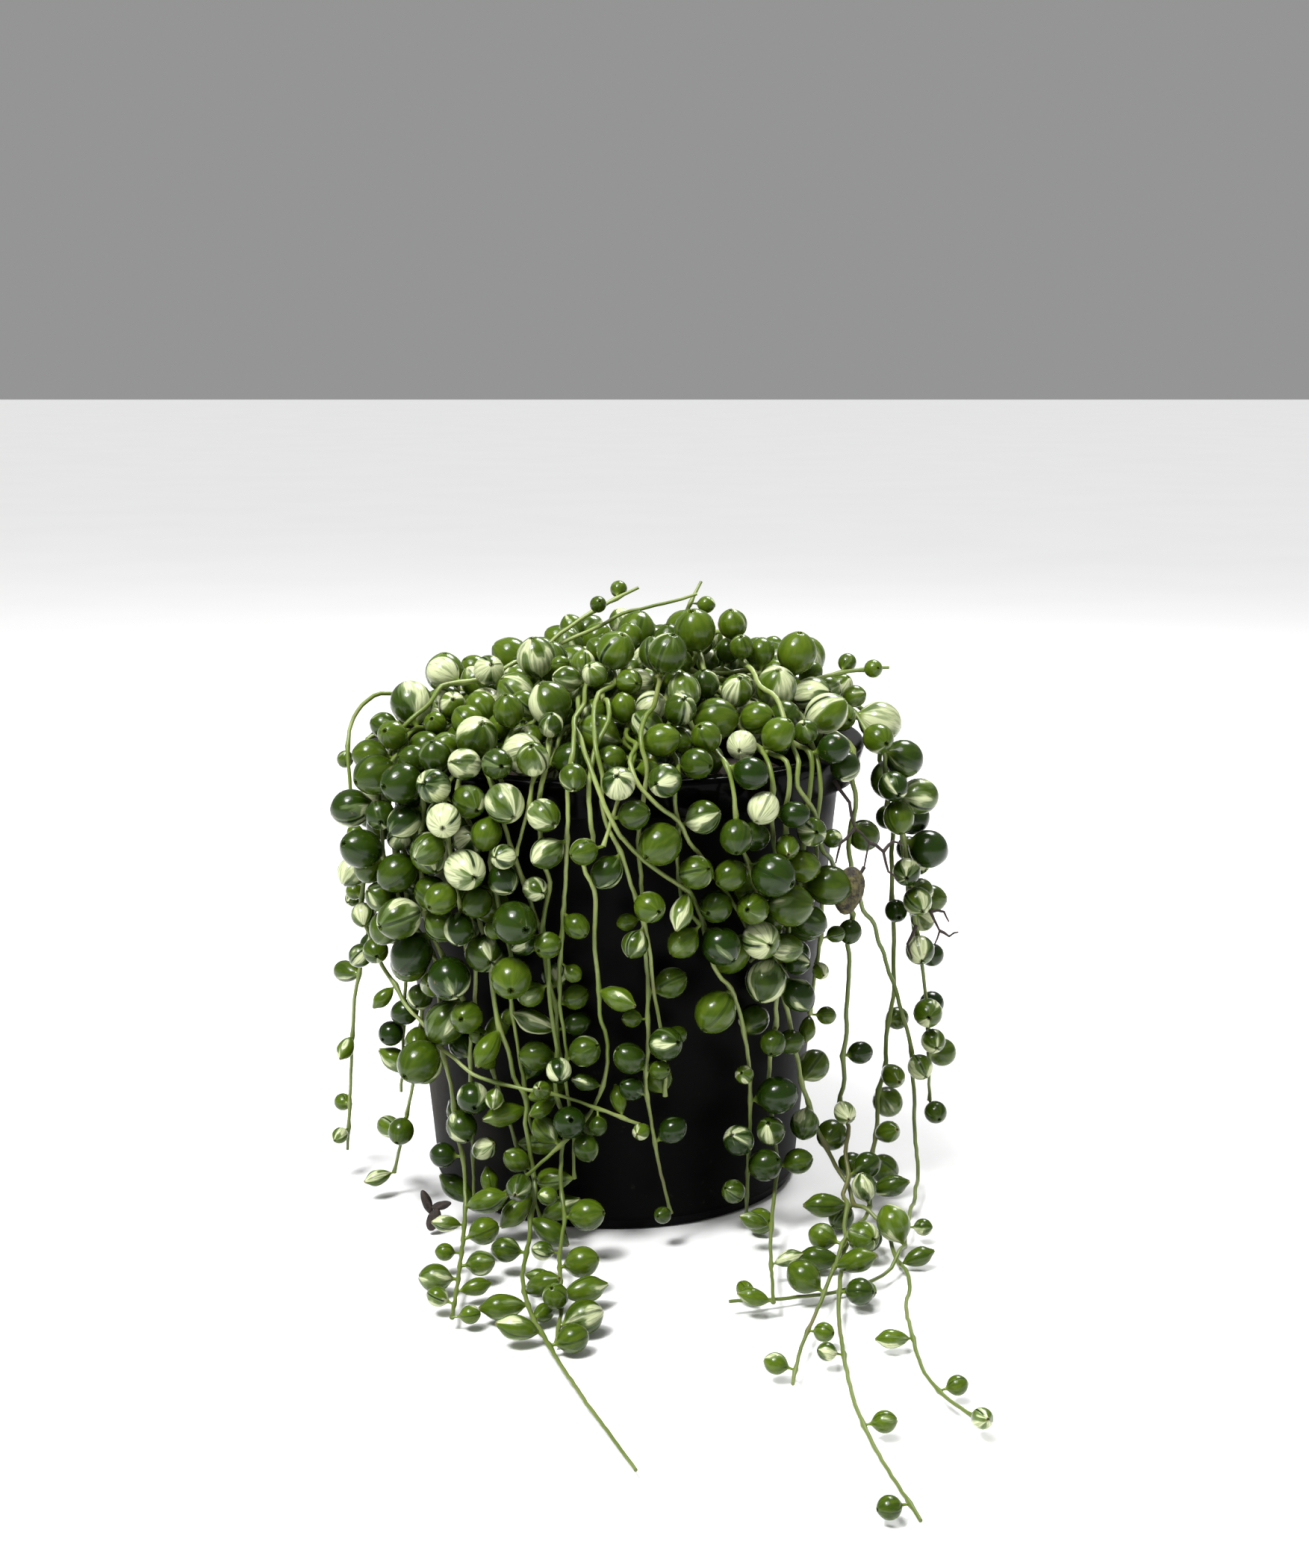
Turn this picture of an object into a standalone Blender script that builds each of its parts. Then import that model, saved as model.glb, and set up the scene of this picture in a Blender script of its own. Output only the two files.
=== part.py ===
"""Potted string of pearls: a black nursery pot, its soil and trailing strands of round leaves.

Every strand is one closed solid: a thin stem with its leaves joined to it. Strands root in the
soil, wind through the crown, cross the rim and hang down the wall; the longest lie along the
surface that the pot stands on. Run with blender --background --python part.py.
"""
import math
import random

import bmesh
import bpy
import numpy as np
from mathutils import Vector

MM = 0.001

# Driving dimensions, in millimetres
POT_HEIGHT = 100.0
RIM_RADIUS = 55.0
MOUTH_RADIUS = 48.5
COLLAR_HEIGHT = 8.0
BASE_RADIUS = 40.5
WALL_TOP_RADIUS = 49.5
WALL_TOP = POT_HEIGHT - COLLAR_HEIGHT
WALL = 1.2
FLOOR_THICKNESS = 1.6
LIP_RADIUS = 1.3
HOLE_COUNT = 8
HOLE_RADIUS = 3.5
HOLE_RING = 33.5
HOLE_SIDES = 8
SOIL_TOP = 88.0
SOIL_GAP = 0.4
TURN_STEPS = 32

STEM_RADIUS = 0.65
SECTION_RADIUS = 0.8
NODE_SPACING = 5.5
PETIOLE = 1.6
CLEARANCE = 0.6
ROOT_HEIGHT = 89.2
CROWN_HEIGHT = 17.0
CROWN_RADIUS = 50.0
RIM_REACH = 53.0
BARE_LIFT = 9.0
RIM_CREST = 109.0
CROWN_LEAN = 0.15
CROWN_LEAN_FROM = 10.0
ROOTED_NODES = 5
CROWN_LEAVES = "PBBPBbBPO"
LEFT_GAP = (-37.0, -24.0)
BACK_FROM = 132.0
BACK_SPAN = 96.0
LEAN = (0.1, 0.9)
LYING_LEAN = (0.0, 0.35)
LYING_BAND = 8.0
SAG = (0.1, 0.7)
FORWARD = (-0.2, 0.4)
SIZE_SPREAD = 0.07
STRAIGHT_ENOUGH = 0.5

SEED = 11
ROUNDS = 480
REST_ROUNDS = 140
REST_EASE = 0.1
THIN_ROUND = ROUNDS - 120
BACK_COUNT = 10
CROWN_COUNT = 11

# Leaf sizes by letter: O, P, B and b are round, D and d are young pointed drops.
LEAF_RADIUS = {"O": 4.4, "P": 3.4, "B": 2.8, "b": 2.0, "D": 3.2, "d": 2.3}
SOLID_RADIUS = 3.15
TOP_RADIUS = 3.2
DROPS = "Dd"
DROP_WIDTH = 0.75
DROP_LENGTH = 1.15

# Hand-laid strands: the leaves from the rim to the tip, one letter a stem node, and the route.
# A route point is an angle from the front in degrees, a distance from the pot's axis and a
# height; a point with no height lies on the crown.
FRONT_STRANDS = {
    "far_left_short": (".b...b.b.b", [
        (-130, 18), (-100, 34, 107), (-92, 50, 110), (-84, 59, 107), (-74, 60, 95), (-77, 58, 83),
        (-79, 57, 72)]),
    "long_sweep": (".......P..bB.BB..d...O....b..d..b.dd", [
        (-60, 12), (-54, 32), (-52, 49, 110), (-54, 59, 102), (-56, 60, 86), (-60, 62, 76),
        (-65, 61, 67), (-64, 58, 57), (-48, 56, 45), (-35, 53, 37), (-20, 54, 35), (-7, 53, 33),
        (6, 51, 28)]),
    "outer_left": ("...b.....B..D..d..bb", [
        (-110, 22), (-85, 38, 106), (-64, 58, 103), (-54, 58, 82), (-60, 57, 70), (-72, 57, 58),
        (-82, 59, 45), (-82, 60, 25), (-82, 61, 9)]),
    "left_bare": (".PP.P.P....B..", [
        (-60, 24), (-54, 40), (-49, 58, 102), (-49, 56, 73), (-54, 55, 60), (-59, 53, 45),
        (-63, 52, 27)]),
    "left_inner": ("POPPOPPP..B.BD.D.BD.d", [
        (-80, 18), (-58, 36), (-47, 58, 102), (-45, 56, 75), (-48, 54, 55), (-51, 52, 44),
        (-55, 52, 30), (-66, 53, 7)]),
    "big_pearls_left": ("POPOOPOPOO.O.D.D..D.DD", [
        (-50, 12), (-45, 36), (-43, 59, 101), (-42, 57, 73), (-37, 54, 53), (-35, 52, 46),
        (-30, 50, 38), (-25, 49, 22), (-19, 48, 6)]),
    "big_pearls_right": (".PPOPOOPO...PbBP.DD.D", [
        (-30, 18), (-38, 38), (-37, 60, 101), (-38, 57, 88), (-33, 55, 75), (-30, 54, 60),
        (-33, 52, 45), (-36, 51, 30), (-36, 50, 8)]),
    "left_drops": ("POP.PPObO.d..BD.", [
        (-20, 22), (-28, 40), (-28, 59, 103), (-26, 58, 88), (-25, 58, 78), (-26, 55, 67),
        (-25, 53, 57), (-21, 51, 40), (-18, 50, 26)]),
    "front_left_long": ("P...PB....BBDBP..B.D", [
        (-10, 16), (-25, 38), (-24, 59, 103), (-21, 56, 85), (-18, 56, 79), (-15, 54, 64),
        (-13, 52, 55), (-10, 50, 36), (-10, 49, 16)]),
    "front_left_short": ("B..P..BBbB..P.", [
        (5, 12), (-8, 33), (-8, 58, 107), (-8, 60, 93), (-9, 56, 79), (-11, 54, 62), (-11, 52, 49),
        (-11, 51, 38)]),
    "front_bare": ("....P..PB......b.P", [
        (15, 10), (0, 32), (-4, 60, 106), (3, 58, 84), (9, 55, 71), (10, 53, 58), (14, 51, 42),
        (12, 51, 36)]),
    "front_beads": ("........b..PbPPbB.B..b", [
        (30, 16), (15, 38), (8, 59, 106), (5, 58, 98), (7, 52, 70), (8, 51, 51), (7, 50, 35),
        (9, 49, 20), (14, 49, 8)]),
    "front_right_drape": (".......D.O..O.P.bO.PPBB", [
        (-20, 10), (-12, 33), (-6, 60, 106), (4, 60, 93), (13, 59, 88), (21, 56, 77), (27, 54, 61),
        (33, 52, 50), (36, 51, 35), (37, 50, 25), (36, 49, 12), (35, 49, 4)]),
    "front_right_cross": ("........P.OO.B..d", [
        (20, 12), (5, 38), (4, 60, 103), (13, 59, 88), (24, 56, 78), (31, 55, 68), (42, 54, 55),
        (50, 53, 47)]),
    "right_long_trail": ("....D...D.B....PP.P..B....d......d...b.d", [
        (60, 16), (40, 40), (38, 59, 102), (38, 57, 80), (40, 54, 60), (46, 53, 42), (52, 52, 25),
        (60, 57, 7), (52, 72, 4), (47, 80, 3), (39, 96, 3), (34, 101, 3), (30, 113, 3), (25, 129, 3),
        (24, 137, 3), (26, 140, 3)]),
    "right_low_trail": ("P..P.O..O.P.BB...P.B..d..d..d", [
        (45, 12), (50, 38), (46, 58, 102), (42, 56, 75), (40, 54, 55), (40, 51, 37), (42, 50, 16),
        (38, 54, 5), (28, 68, 4), (21, 88, 3)]),
    "right_bare_loop": ("............B.......bP..d..d", [
        (80, 15), (50, 40), (40, 59, 103), (39, 59, 95), (53, 58, 77), (68, 59, 65), (80, 62, 48),
        (84, 67, 30), (83, 68, 10), (74, 70, 3), (55, 76, 3), (38, 93, 3), (28, 88, 3), (18, 87, 3)]),
    "right_thin": ("B...b..B.bd.b", [
        (100, 10), (60, 36), (48, 58, 105), (46, 59, 95), (47, 58, 86), (48, 57, 71), (49, 55, 49)]),
    "right_cluster_inner": ("OPOPOP.OPBPBPB.PBBP.B", [
        (120, 12), (85, 38), (78, 57, 107), (77, 62, 98), (82, 64, 80), (84, 66, 68), (83, 68, 55),
        (83, 71, 40), (83, 71, 20)]),
    "right_cluster_outer": ("POPOPPBP.b", [
        (60, 20), (75, 40), (86, 58, 107), (90, 63, 98), (91, 64, 85), (92, 65, 70), (89, 67, 55)]),
    "right_drops_trail": ("....B...B...B.DP.DPBDB.PB.D.P..b..b", [
        (110, 24), (100, 43, 107), (94, 58, 106), (93, 62, 90), (89, 62, 65), (86, 63, 45),
        (84, 61, 28), (72, 60, 12), (55, 67, 4), (38, 76, 4), (25, 96, 3), (18, 110, 3),
        (16, 122, 3)]),
    "right_far_trail": ("P..P...B.....B.D..B.DB.D..B....b....b....b", [
        (70, 16), (62, 40), (58, 59, 104), (60, 58, 80), (62, 57, 50), (63, 55, 20), (55, 62, 5),
        (36, 80, 4), (27, 96, 3), (22, 115, 3), (18, 140, 3), (17, 173, 3)]),
    "front_floor_pearls": ("......B....B.dP..bP.bPdDBP", [
        (-25, 12), (-18, 38), (-15, 59, 105), (-14, 57, 85), (-14, 54, 55), (-14, 50, 25),
        (-13, 50, 10), (-11, 57, 5), (-8, 80, 5), (-5, 96, 3)]),
    "front_floor_drops": ("P..P..B..D..D.B.D.B.DDdDB.......", [
        (-35, 16), (-32, 40), (-32, 59, 104), (-30, 56, 75), (-24, 53, 45), (-20, 50, 20),
        (-17, 56, 5), (-15, 70, 4), (-12, 85, 4), (-7, 100, 2), (-2, 122, 2), (2, 147, 2)]),
    "left_floor_drops": ("P.P.B.B...D..D.P.B.DdBbBBdbb", [
        (-70, 12), (-58, 38), (-50, 58, 104), (-47, 57, 75), (-42, 54, 45), (-38, 51, 18),
        (-34, 54, 5), (-28, 65, 4), (-22, 80, 3), (-19, 92, 3)]),
    "crossing_low": ("..........D....d.B.B.D.d", [
        (10, 12), (-2, 35), (-3, 60, 106), (-4, 57, 80), (-2, 53, 50), (3, 51, 34), (-6, 51, 26),
        (-16, 51, 19), (-26, 51, 9)]),
    "left_rim_outer": ("POPPOPPO.", [
        (-60, 24), (-54, 42, 106), (-49, 60, 100), (-47, 59, 85), (-45, 57, 70), (-42, 55, 58)]),
    "left_rim_inner": ("PPPOPP.", [
        (-30, 26), (-36, 44), (-34, 60, 102), (-33, 60, 90), (-30, 59, 78), (-29, 57, 66)]),
    "front_rim_middle": ("PPOP.P", [
        (25, 22), (16, 42), (12, 60, 102), (12, 59, 92), (14, 58, 82), (18, 56, 75)]),
    "front_rim_right": ("P.POPOP.P", [
        (35, 22), (26, 44), (24, 60, 101), (26, 58, 90), (30, 57, 78), (33, 56, 70), (34, 55, 60)]),
    "front_rim_far_right": ("PBPPOPBP", [
        (50, 22), (36, 43), (32, 60, 101), (33, 59, 90), (37, 57, 80), (40, 56, 68), (42, 55, 58)]),
    "front_rim_left": ("PP.B", [(-15, 26), (-16, 44), (-18, 59, 103), (-18, 59, 92)]),
    "front_rim_centre": ("PPB", [(0, 28), (3, 44), (4, 59, 103), (1, 60, 94)]),
    "crown_pair": ("......bb", [(-59, 29), (-67, 16, 122), (-76, 9, 129), (37, 3, 131)]),
    "crown_tip": ("....b..b", [(60, 10), (80, 13, 122), (100, 18, 131)]),
    "crown_bare": ("........", [(-110, 24), (-68, 22, 117), (-35, 6, 123), (90, 14, 129)]),
    "crown_right_tip": ("......bb", [(77, 34), (78, 45, 115), (79, 52, 117), (80, 57, 116)]),
}

# Strands whose stems lie bare on top of the crown
BARE_OVER_CROWN = {
    "long_sweep", "front_left_short", "front_bare", "front_beads", "front_right_drape",
    "right_bare_loop", "outer_left", "crossing_low"}


# ---------------------------------------------------------------- where the strands lie


def crown_height(x, y):
    """Height of the crown's stems: a dome that leans a little to the right."""
    rise = CROWN_HEIGHT * (1 - (x * x + y * y) / CROWN_RADIUS ** 2)
    return POT_HEIGHT + 3.0 + rise - CROWN_LEAN * max(0.0, CROWN_LEAN_FROM - x)


def route_point(point, lift):
    """A route's angle, radius and height as x, y and z; lift raises it over the crown."""
    angle = math.radians(point[0])
    x = point[1] * math.sin(angle)
    y = -point[1] * math.cos(angle)
    z = point[2] if len(point) > 2 else crown_height(x, y) + lift * point[1] / RIM_REACH
    return (x, y, z)


def smooth_route(points):
    """Stem nodes at even spacing along a smooth curve through the points."""
    p = np.array(points, float)
    p = np.vstack([2 * p[0] - p[1], p, 2 * p[-1] - p[-2]])
    fine = []
    for i in range(1, len(p) - 2):
        a, b, c, d = p[i - 1:i + 3]
        for t in np.arange(0, 1, 0.05):
            cubic = (2 * a - 5 * b + 4 * c - d) * t ** 2 + (3 * b - a - 3 * c + d) * t ** 3
            fine.append(0.5 * (2 * b + (c - a) * t + cubic))
    fine.append(p[-2])
    fine = np.array(fine)
    along = np.concatenate([[0], np.cumsum(lengths(fine[1:] - fine[:-1]))])
    count = max(4, int(round(along[-1] / NODE_SPACING)) + 1)
    at = np.linspace(0, along[-1], count)
    return np.stack([np.interp(at, along, fine[:, k]) for k in range(3)], 1)


def lengths(vectors):
    return np.sqrt(vectors[:, 0] ** 2 + vectors[:, 1] ** 2 + vectors[:, 2] ** 2)


def unit(vector):
    return vector / max(1e-9, math.sqrt(float((vector * vector).sum())))


def back_strands(rng):
    """Strands down the back of the pot; the longest turn outward along the surface below."""
    made = {}
    for i in range(BACK_COUNT):
        deg = BACK_FROM + i * BACK_SPAN / (BACK_COUNT - 1) + rng.uniform(-3, 3)
        drop = rng.uniform(35, 98)
        drift = rng.uniform(-9, 9)
        bottom = POT_HEIGHT - drop
        route = [
            (deg + rng.uniform(-50, 50), rng.uniform(8, 22)),
            (deg + rng.uniform(-12, 12), 38),
            (deg, 59, 104),
            (deg + drift * 0.3, 59, 90),
        ]
        if bottom < 14:
            route += [
                (deg + drift * 0.7, 55, 45),
                (deg + drift, 52, 14),
                (deg + drift * 1.3, 60, 4),
                (deg + drift * 1.8, 68 + rng.uniform(0, 14), 4),
            ]
        else:
            route += [(deg + drift * 0.7, 57, (90 + bottom) / 2), (deg + drift, 54, bottom)]
        count = int(drop / NODE_SPACING)
        kinds = ["POP.PB"] * (count // 2) + ["BDP.b.D"] * (count // 3)
        kinds += ["D.db.B."] * (count - len(kinds))
        made[f"back_{i + 1:02d}"] = ("".join(rng.choice(kind) for kind in kinds), route)
    return made


def crown_strands(rng):
    """Short strands that wind outward over the soil and stay inside the rim."""
    made = {}
    for i in range(CROWN_COUNT):
        start = i * 360 / CROWN_COUNT + 25 + rng.uniform(-12, 12)
        sweep = rng.choice((-1, 1)) * rng.uniform(50, 110)
        inner = rng.uniform(3, 14)
        outer = rng.uniform(34, 49)
        route = []
        for k in range(5):
            t = k / 4
            route.append((start + sweep * t, inner + (outer - inner) * t))
        made[f"crown_{i + 1:02d}"] = ("", route)
    return made


def leaf_nodes(nodes, text, bare, rng):
    """Which node carries which leaf: the crown's by rule, the hanging ones from the text."""
    reach = np.sqrt(nodes[:, 0] ** 2 + nodes[:, 1] ** 2)
    over_rim = np.where((reach > RIM_REACH) & (nodes[:, 2] < RIM_CREST))[0]
    lip = over_rim[0] if len(over_rim) else len(nodes)
    if text and not len(over_rim):
        lip = 0
    picks = []
    for i in range(ROOTED_NODES, lip):
        in_gap = nodes[i, 0] < LEFT_GAP[0] and nodes[i, 1] > LEFT_GAP[1]
        if i % 4 and not in_gap and not (bare and i % 9 > 1):
            picks.append((i, rng.choice(CROWN_LEAVES)))
    hanging = len(nodes) - 1 - lip
    for i, kind in enumerate(text):
        if kind in LEAF_RADIUS:
            node = lip + int(round((i + 0.5) / len(text) * hanging))
            picks.append((min(len(nodes) - 1, node), kind))
    return picks


def leaf_direction(nodes, i, side, rng):
    """Where a leaf leans from its node: to one side, and outward, upward or down."""
    here = nodes[i]
    along = unit(nodes[min(len(nodes) - 1, i + 1)] - nodes[max(0, i - 1)])
    reach = math.hypot(here[0], here[1])
    sag = 0.0
    if here[2] < LYING_BAND and reach > BASE_RADIUS + LYING_BAND:
        out = np.array([0, 0, 1.0])
        lean = rng.uniform(*LYING_LEAN)
    elif reach < RIM_REACH - 1:
        out = unit(np.array([here[0] * 0.5, here[1] * 0.5, 34.0]))
        lean = rng.uniform(*LEAN)
    else:
        out = unit(np.array([here[0], here[1], 0.0]))
        lean = rng.uniform(*LEAN)
        sag = rng.uniform(*SAG)
    across = unit(np.cross(along, out)) * side
    return unit(across + out * lean - np.array([0, 0, sag]) + along * rng.uniform(*FORWARD))


def grow_strands():
    """Every strand with its stem nodes and leaves, in millimetres, clear of one another."""
    rng = random.Random(SEED)
    plan = {**FRONT_STRANDS, **back_strands(rng), **crown_strands(rng)}
    strands = []
    for name, (text, route) in plan.items():
        bare = name in BARE_OVER_CROWN
        points = [route_point(point, BARE_LIFT if bare else 0.0) for point in route]
        points.insert(0, (points[0][0] * 0.9, points[0][1] * 0.9, ROOT_HEIGHT))
        nodes = smooth_route(points)
        side = rng.choice((-1, 1))
        leaves = []
        for node, kind in leaf_nodes(nodes, text, bare, rng):
            side = -side
            toward = leaf_direction(nodes, node, side, rng)
            radius = LEAF_RADIUS[kind] * rng.uniform(1 - SIZE_SPREAD, 1 + SIZE_SPREAD)
            leaves.append({"node": node, "kind": kind, "radius": radius, "toward": toward})
        strands.append({"name": name, "nodes": nodes, "leaves": leaves})
    Tangle(strands).settle()
    return strands


def nearest_on_segments(p1, q1, p2, q2):
    """For pairs of segments, how far along each one the two come closest, from 0 to 1."""
    d1, d2, r = q1 - p1, q2 - p2, p1 - p2
    a = (d1 * d1).sum(1) + 1e-12
    e = (d2 * d2).sum(1) + 1e-12
    b, c, f = (d1 * d2).sum(1), (d1 * r).sum(1), (d2 * r).sum(1)
    den = a * e - b * b
    safe = np.where(den > 1e-9, den, 1)
    s = np.where(den > 1e-9, np.clip((b * f - c * e) / safe, 0, 1), 0.5)
    t = (b * s + f) / e
    clipped = np.clip(t, 0, 1)
    s = np.where(t != clipped, np.clip((b * clipped - c) / a, 0, 1), s)
    return s, clipped


def push_off_pot(points, radius):
    """How far spheres must move to clear the wall, the soil, the rim and the surface below."""
    rho = np.sqrt(points[:, 0] ** 2 + points[:, 1] ** 2) + 1e-9
    z = points[:, 2]
    wall = BASE_RADIUS + (WALL_TOP_RADIUS - BASE_RADIUS) * np.clip(z, 0, WALL_TOP) / WALL_TOP
    beside, above = rho - wall, z - SOIL_TOP
    near = np.maximum(beside, above) < radius
    out = np.where(near & (beside >= above), radius - beside, 0.0)
    up = np.where(near & (beside < above), radius - above, 0.0)
    # the rim is a square ring
    half_r, half_z = (RIM_RADIUS - MOUTH_RADIUS) / 2, COLLAR_HEIGHT / 2
    from_r = rho + out - (RIM_RADIUS + MOUTH_RADIUS) / 2
    from_z = z + up - (POT_HEIGHT - half_z)
    over_r, over_z = np.abs(from_r) - half_r, np.abs(from_z) - half_z
    outside = np.sqrt(np.maximum(over_r, 0) ** 2 + np.maximum(over_z, 0) ** 2)
    depth = radius - outside - np.minimum(np.maximum(over_r, over_z), 0)
    free = outside > 1e-6
    way_r = np.where(free, np.maximum(over_r, 0), over_r > over_z) * np.sign(from_r)
    way_z = np.where(free, np.maximum(over_z, 0), over_z >= over_r) * np.sign(from_z)
    scale = np.where(depth > 0, depth, 0) / (np.sqrt(way_r ** 2 + way_z ** 2) + 1e-9)
    out += scale * way_r
    up += scale * way_z
    up = np.where(z + up < radius, radius - z, up)
    return np.stack([out * points[:, 0] / rho, out * points[:, 1] / rho, up], 1)


class Tangle:
    """All the stem nodes and leaves, pushed apart in turns until nothing touches."""

    def __init__(self, strands):
        self.strands = strands
        starts = [0]
        for strand in strands:
            starts.append(starts[-1] + len(strand["nodes"]))
        self.starts = starts
        self.nodes = np.concatenate([strand["nodes"] for strand in strands])
        self.home = self.nodes.copy()
        self.count = len(self.nodes)
        self.owner = np.concatenate(
            [np.full(len(strand["nodes"]), i) for i, strand in enumerate(strands)])
        self.free = np.ones((self.count, 3))
        self.free[starts[:-1], 2] = 0.0
        self.a = np.where(self.owner[:-1] == self.owner[1:])[0]
        self.b = self.a + 1
        self.rest = lengths(self.nodes[self.b] - self.nodes[self.a])
        middle = np.arange(1, self.count - 1)
        same = (self.owner[middle - 1] == self.owner[middle + 1])
        self.middle = middle[same]
        pairs = [(i, leaf) for i, strand in enumerate(strands) for leaf in strand["leaves"]]
        self.leaves = [leaf for i, leaf in pairs]
        self.stalk = np.array([starts[i] + leaf["node"] for i, leaf in pairs])
        self.radius = np.array([leaf["radius"] for leaf in self.leaves])
        self.toward = np.array([leaf["toward"] for leaf in self.leaves])
        self.place_leaves()

    def place_leaves(self):
        self.reach = self.radius + PETIOLE
        self.centres = self.nodes[self.stalk] + self.toward * self.reach[:, None]

    def gather(self, index, vectors, count):
        return np.stack([np.bincount(index, vectors[:, k], count) for k in range(3)], 1)

    def find_neighbours(self):
        """Lists the pairs of leaves and stems that are close enough to meet."""
        a, b = self.a, self.b
        centres, radius = self.centres, self.radius
        mid = (self.nodes[a] + self.nodes[b]) / 2
        i, j = np.triu_indices(len(centres), 1)
        near = ((centres[i] - centres[j]) ** 2).sum(1) < (radius[i] + radius[j] + 5) ** 2
        self.leaf_pairs = (i[near], j[near])
        gap = ((centres[:, None] - mid[None]) ** 2).sum(2)
        i, j = np.where(gap < (radius[:, None] + self.rest[None] / 2 + 5) ** 2)
        apart = (self.stalk[i] != a[j]) & (self.stalk[i] != b[j])
        self.leaf_stems = (i[apart], j[apart])
        gap = ((mid[:, None] - mid[None]) ** 2).sum(2)
        i, j = np.where(np.triu(gap < (NODE_SPACING + 5) ** 2, 1))
        apart = (self.owner[a[i]] != self.owner[a[j]]) | (np.abs(a[i] - a[j]) > 2)
        self.stem_pairs = (i[apart], j[apart])

    def leaf_to_stem(self):
        """Each near stem segment's closest point to its leaf, and how deep the two overlap."""
        i, j = self.leaf_stems
        start = self.nodes[self.a[j]]
        run = self.nodes[self.b[j]] - start
        t = ((self.centres[i] - start) * run).sum(1) / np.maximum((run * run).sum(1), 1e-9)
        t = np.clip(t, 0, 1)
        away = self.centres[i] - start - run * t[:, None]
        return t, away, self.radius[i] + STEM_RADIUS - lengths(away)

    def hold_shape(self, ease):
        """Draws stems to their routes, keeps their length and keeps leaves on their stalks."""
        nodes, free, middle = self.nodes, self.free, self.middle
        nodes += free * (self.home - nodes) * (0.02 * ease)
        bend = (nodes[middle - 1] + nodes[middle + 1]) / 2 - nodes[middle]
        nodes[middle] += free[middle] * bend * (0.3 * ease)
        for odd in (0, 1):
            some = self.a % 2 == odd
            a, b = self.a[some], self.b[some]
            run = nodes[b] - nodes[a]
            size = lengths(run)
            fix = run * ((size - self.rest[some]) / np.maximum(size, 1e-9))[:, None] * 0.5
            nodes[a] += fix * free[a]
            nodes[b] -= fix * free[b]
        wanted = nodes[self.stalk] + self.toward * self.reach[:, None]
        self.centres += (wanted - self.centres) * (0.03 * ease)
        arm = self.centres - nodes[self.stalk]
        size = lengths(arm)
        fix = arm * ((size - self.reach) / np.maximum(size, 1e-9))[:, None]
        self.centres -= fix * 0.6
        nodes += self.gather(self.stalk, fix * 0.4, self.count) * free

    def push_apart(self):
        """Moves overlapping leaves and stems half way out of each other."""
        a, b, nodes, total = self.a, self.b, self.nodes, len(self.centres)
        leaf_move, leaf_hits = np.zeros_like(self.centres), np.zeros(total)
        node_move, node_hits = np.zeros_like(nodes), np.zeros(self.count)

        i, j = self.leaf_pairs
        away = self.centres[j] - self.centres[i]
        size = lengths(away) + 1e-9
        deep = self.radius[i] + self.radius[j] + CLEARANCE - size
        hit = deep > 0
        i, j = i[hit], j[hit]
        push = away[hit] * (deep[hit] / size[hit] * 0.5)[:, None]
        leaf_move += self.gather(j, push, total) - self.gather(i, push, total)
        leaf_hits += np.bincount(i, minlength=total) + np.bincount(j, minlength=total)

        t, away, deep = self.leaf_to_stem()
        hit = deep + CLEARANCE > 0
        i, j = self.leaf_stems[0][hit], self.leaf_stems[1][hit]
        t = t[hit]
        size = lengths(away[hit]) + 1e-9
        push = away[hit] * ((deep[hit] + CLEARANCE) / size * 0.5)[:, None]
        leaf_move += self.gather(i, push, total)
        leaf_hits += np.bincount(i, minlength=total)
        node_move -= self.gather(a[j], push * (1 - t)[:, None], self.count)
        node_move -= self.gather(b[j], push * t[:, None], self.count)
        node_hits += np.bincount(a[j], 1 - t, self.count) + np.bincount(b[j], t, self.count)

        i, j = self.stem_pairs
        s, t = nearest_on_segments(nodes[a[i]], nodes[b[i]], nodes[a[j]], nodes[b[j]])
        first = nodes[a[i]] * (1 - s)[:, None] + nodes[b[i]] * s[:, None]
        second = nodes[a[j]] * (1 - t)[:, None] + nodes[b[j]] * t[:, None]
        away = second - first
        size = lengths(away) + 1e-9
        deep = 2 * STEM_RADIUS + CLEARANCE - size
        hit = deep > 0
        i, j, s, t = i[hit], j[hit], s[hit][:, None], t[hit][:, None]
        push = away[hit] * (deep[hit] / size[hit] * 0.5)[:, None]
        node_move += self.gather(a[j], push * (1 - t), self.count)
        node_move += self.gather(b[j], push * t, self.count)
        node_move -= self.gather(a[i], push * (1 - s), self.count)
        node_move -= self.gather(b[i], push * s, self.count)
        for ends in (a[i], b[i], a[j], b[j]):
            node_hits += np.bincount(ends, minlength=self.count)

        self.centres += leaf_move / np.maximum(1, leaf_hits * 0.5)[:, None]
        nodes += node_move / np.maximum(1, node_hits * 0.5)[:, None] * self.free

    def clear_pot(self):
        """Moves leaves, nodes and points between nodes out of the pot, soil and surface."""
        nodes, free = self.nodes, self.free
        margin = STEM_RADIUS + CLEARANCE
        self.centres += push_off_pot(self.centres, self.radius + CLEARANCE * 0.7)
        nodes += push_off_pot(nodes, np.full(self.count, margin)) * free
        for t in (0.25, 0.5, 0.75):
            between = nodes[self.a] * (1 - t) + nodes[self.b] * t
            push = push_off_pot(between, np.full(len(between), margin))
            moves = self.gather(self.a, push * (1 - t), self.count)
            nodes += (moves + self.gather(self.b, push * t, self.count)) * free

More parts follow.
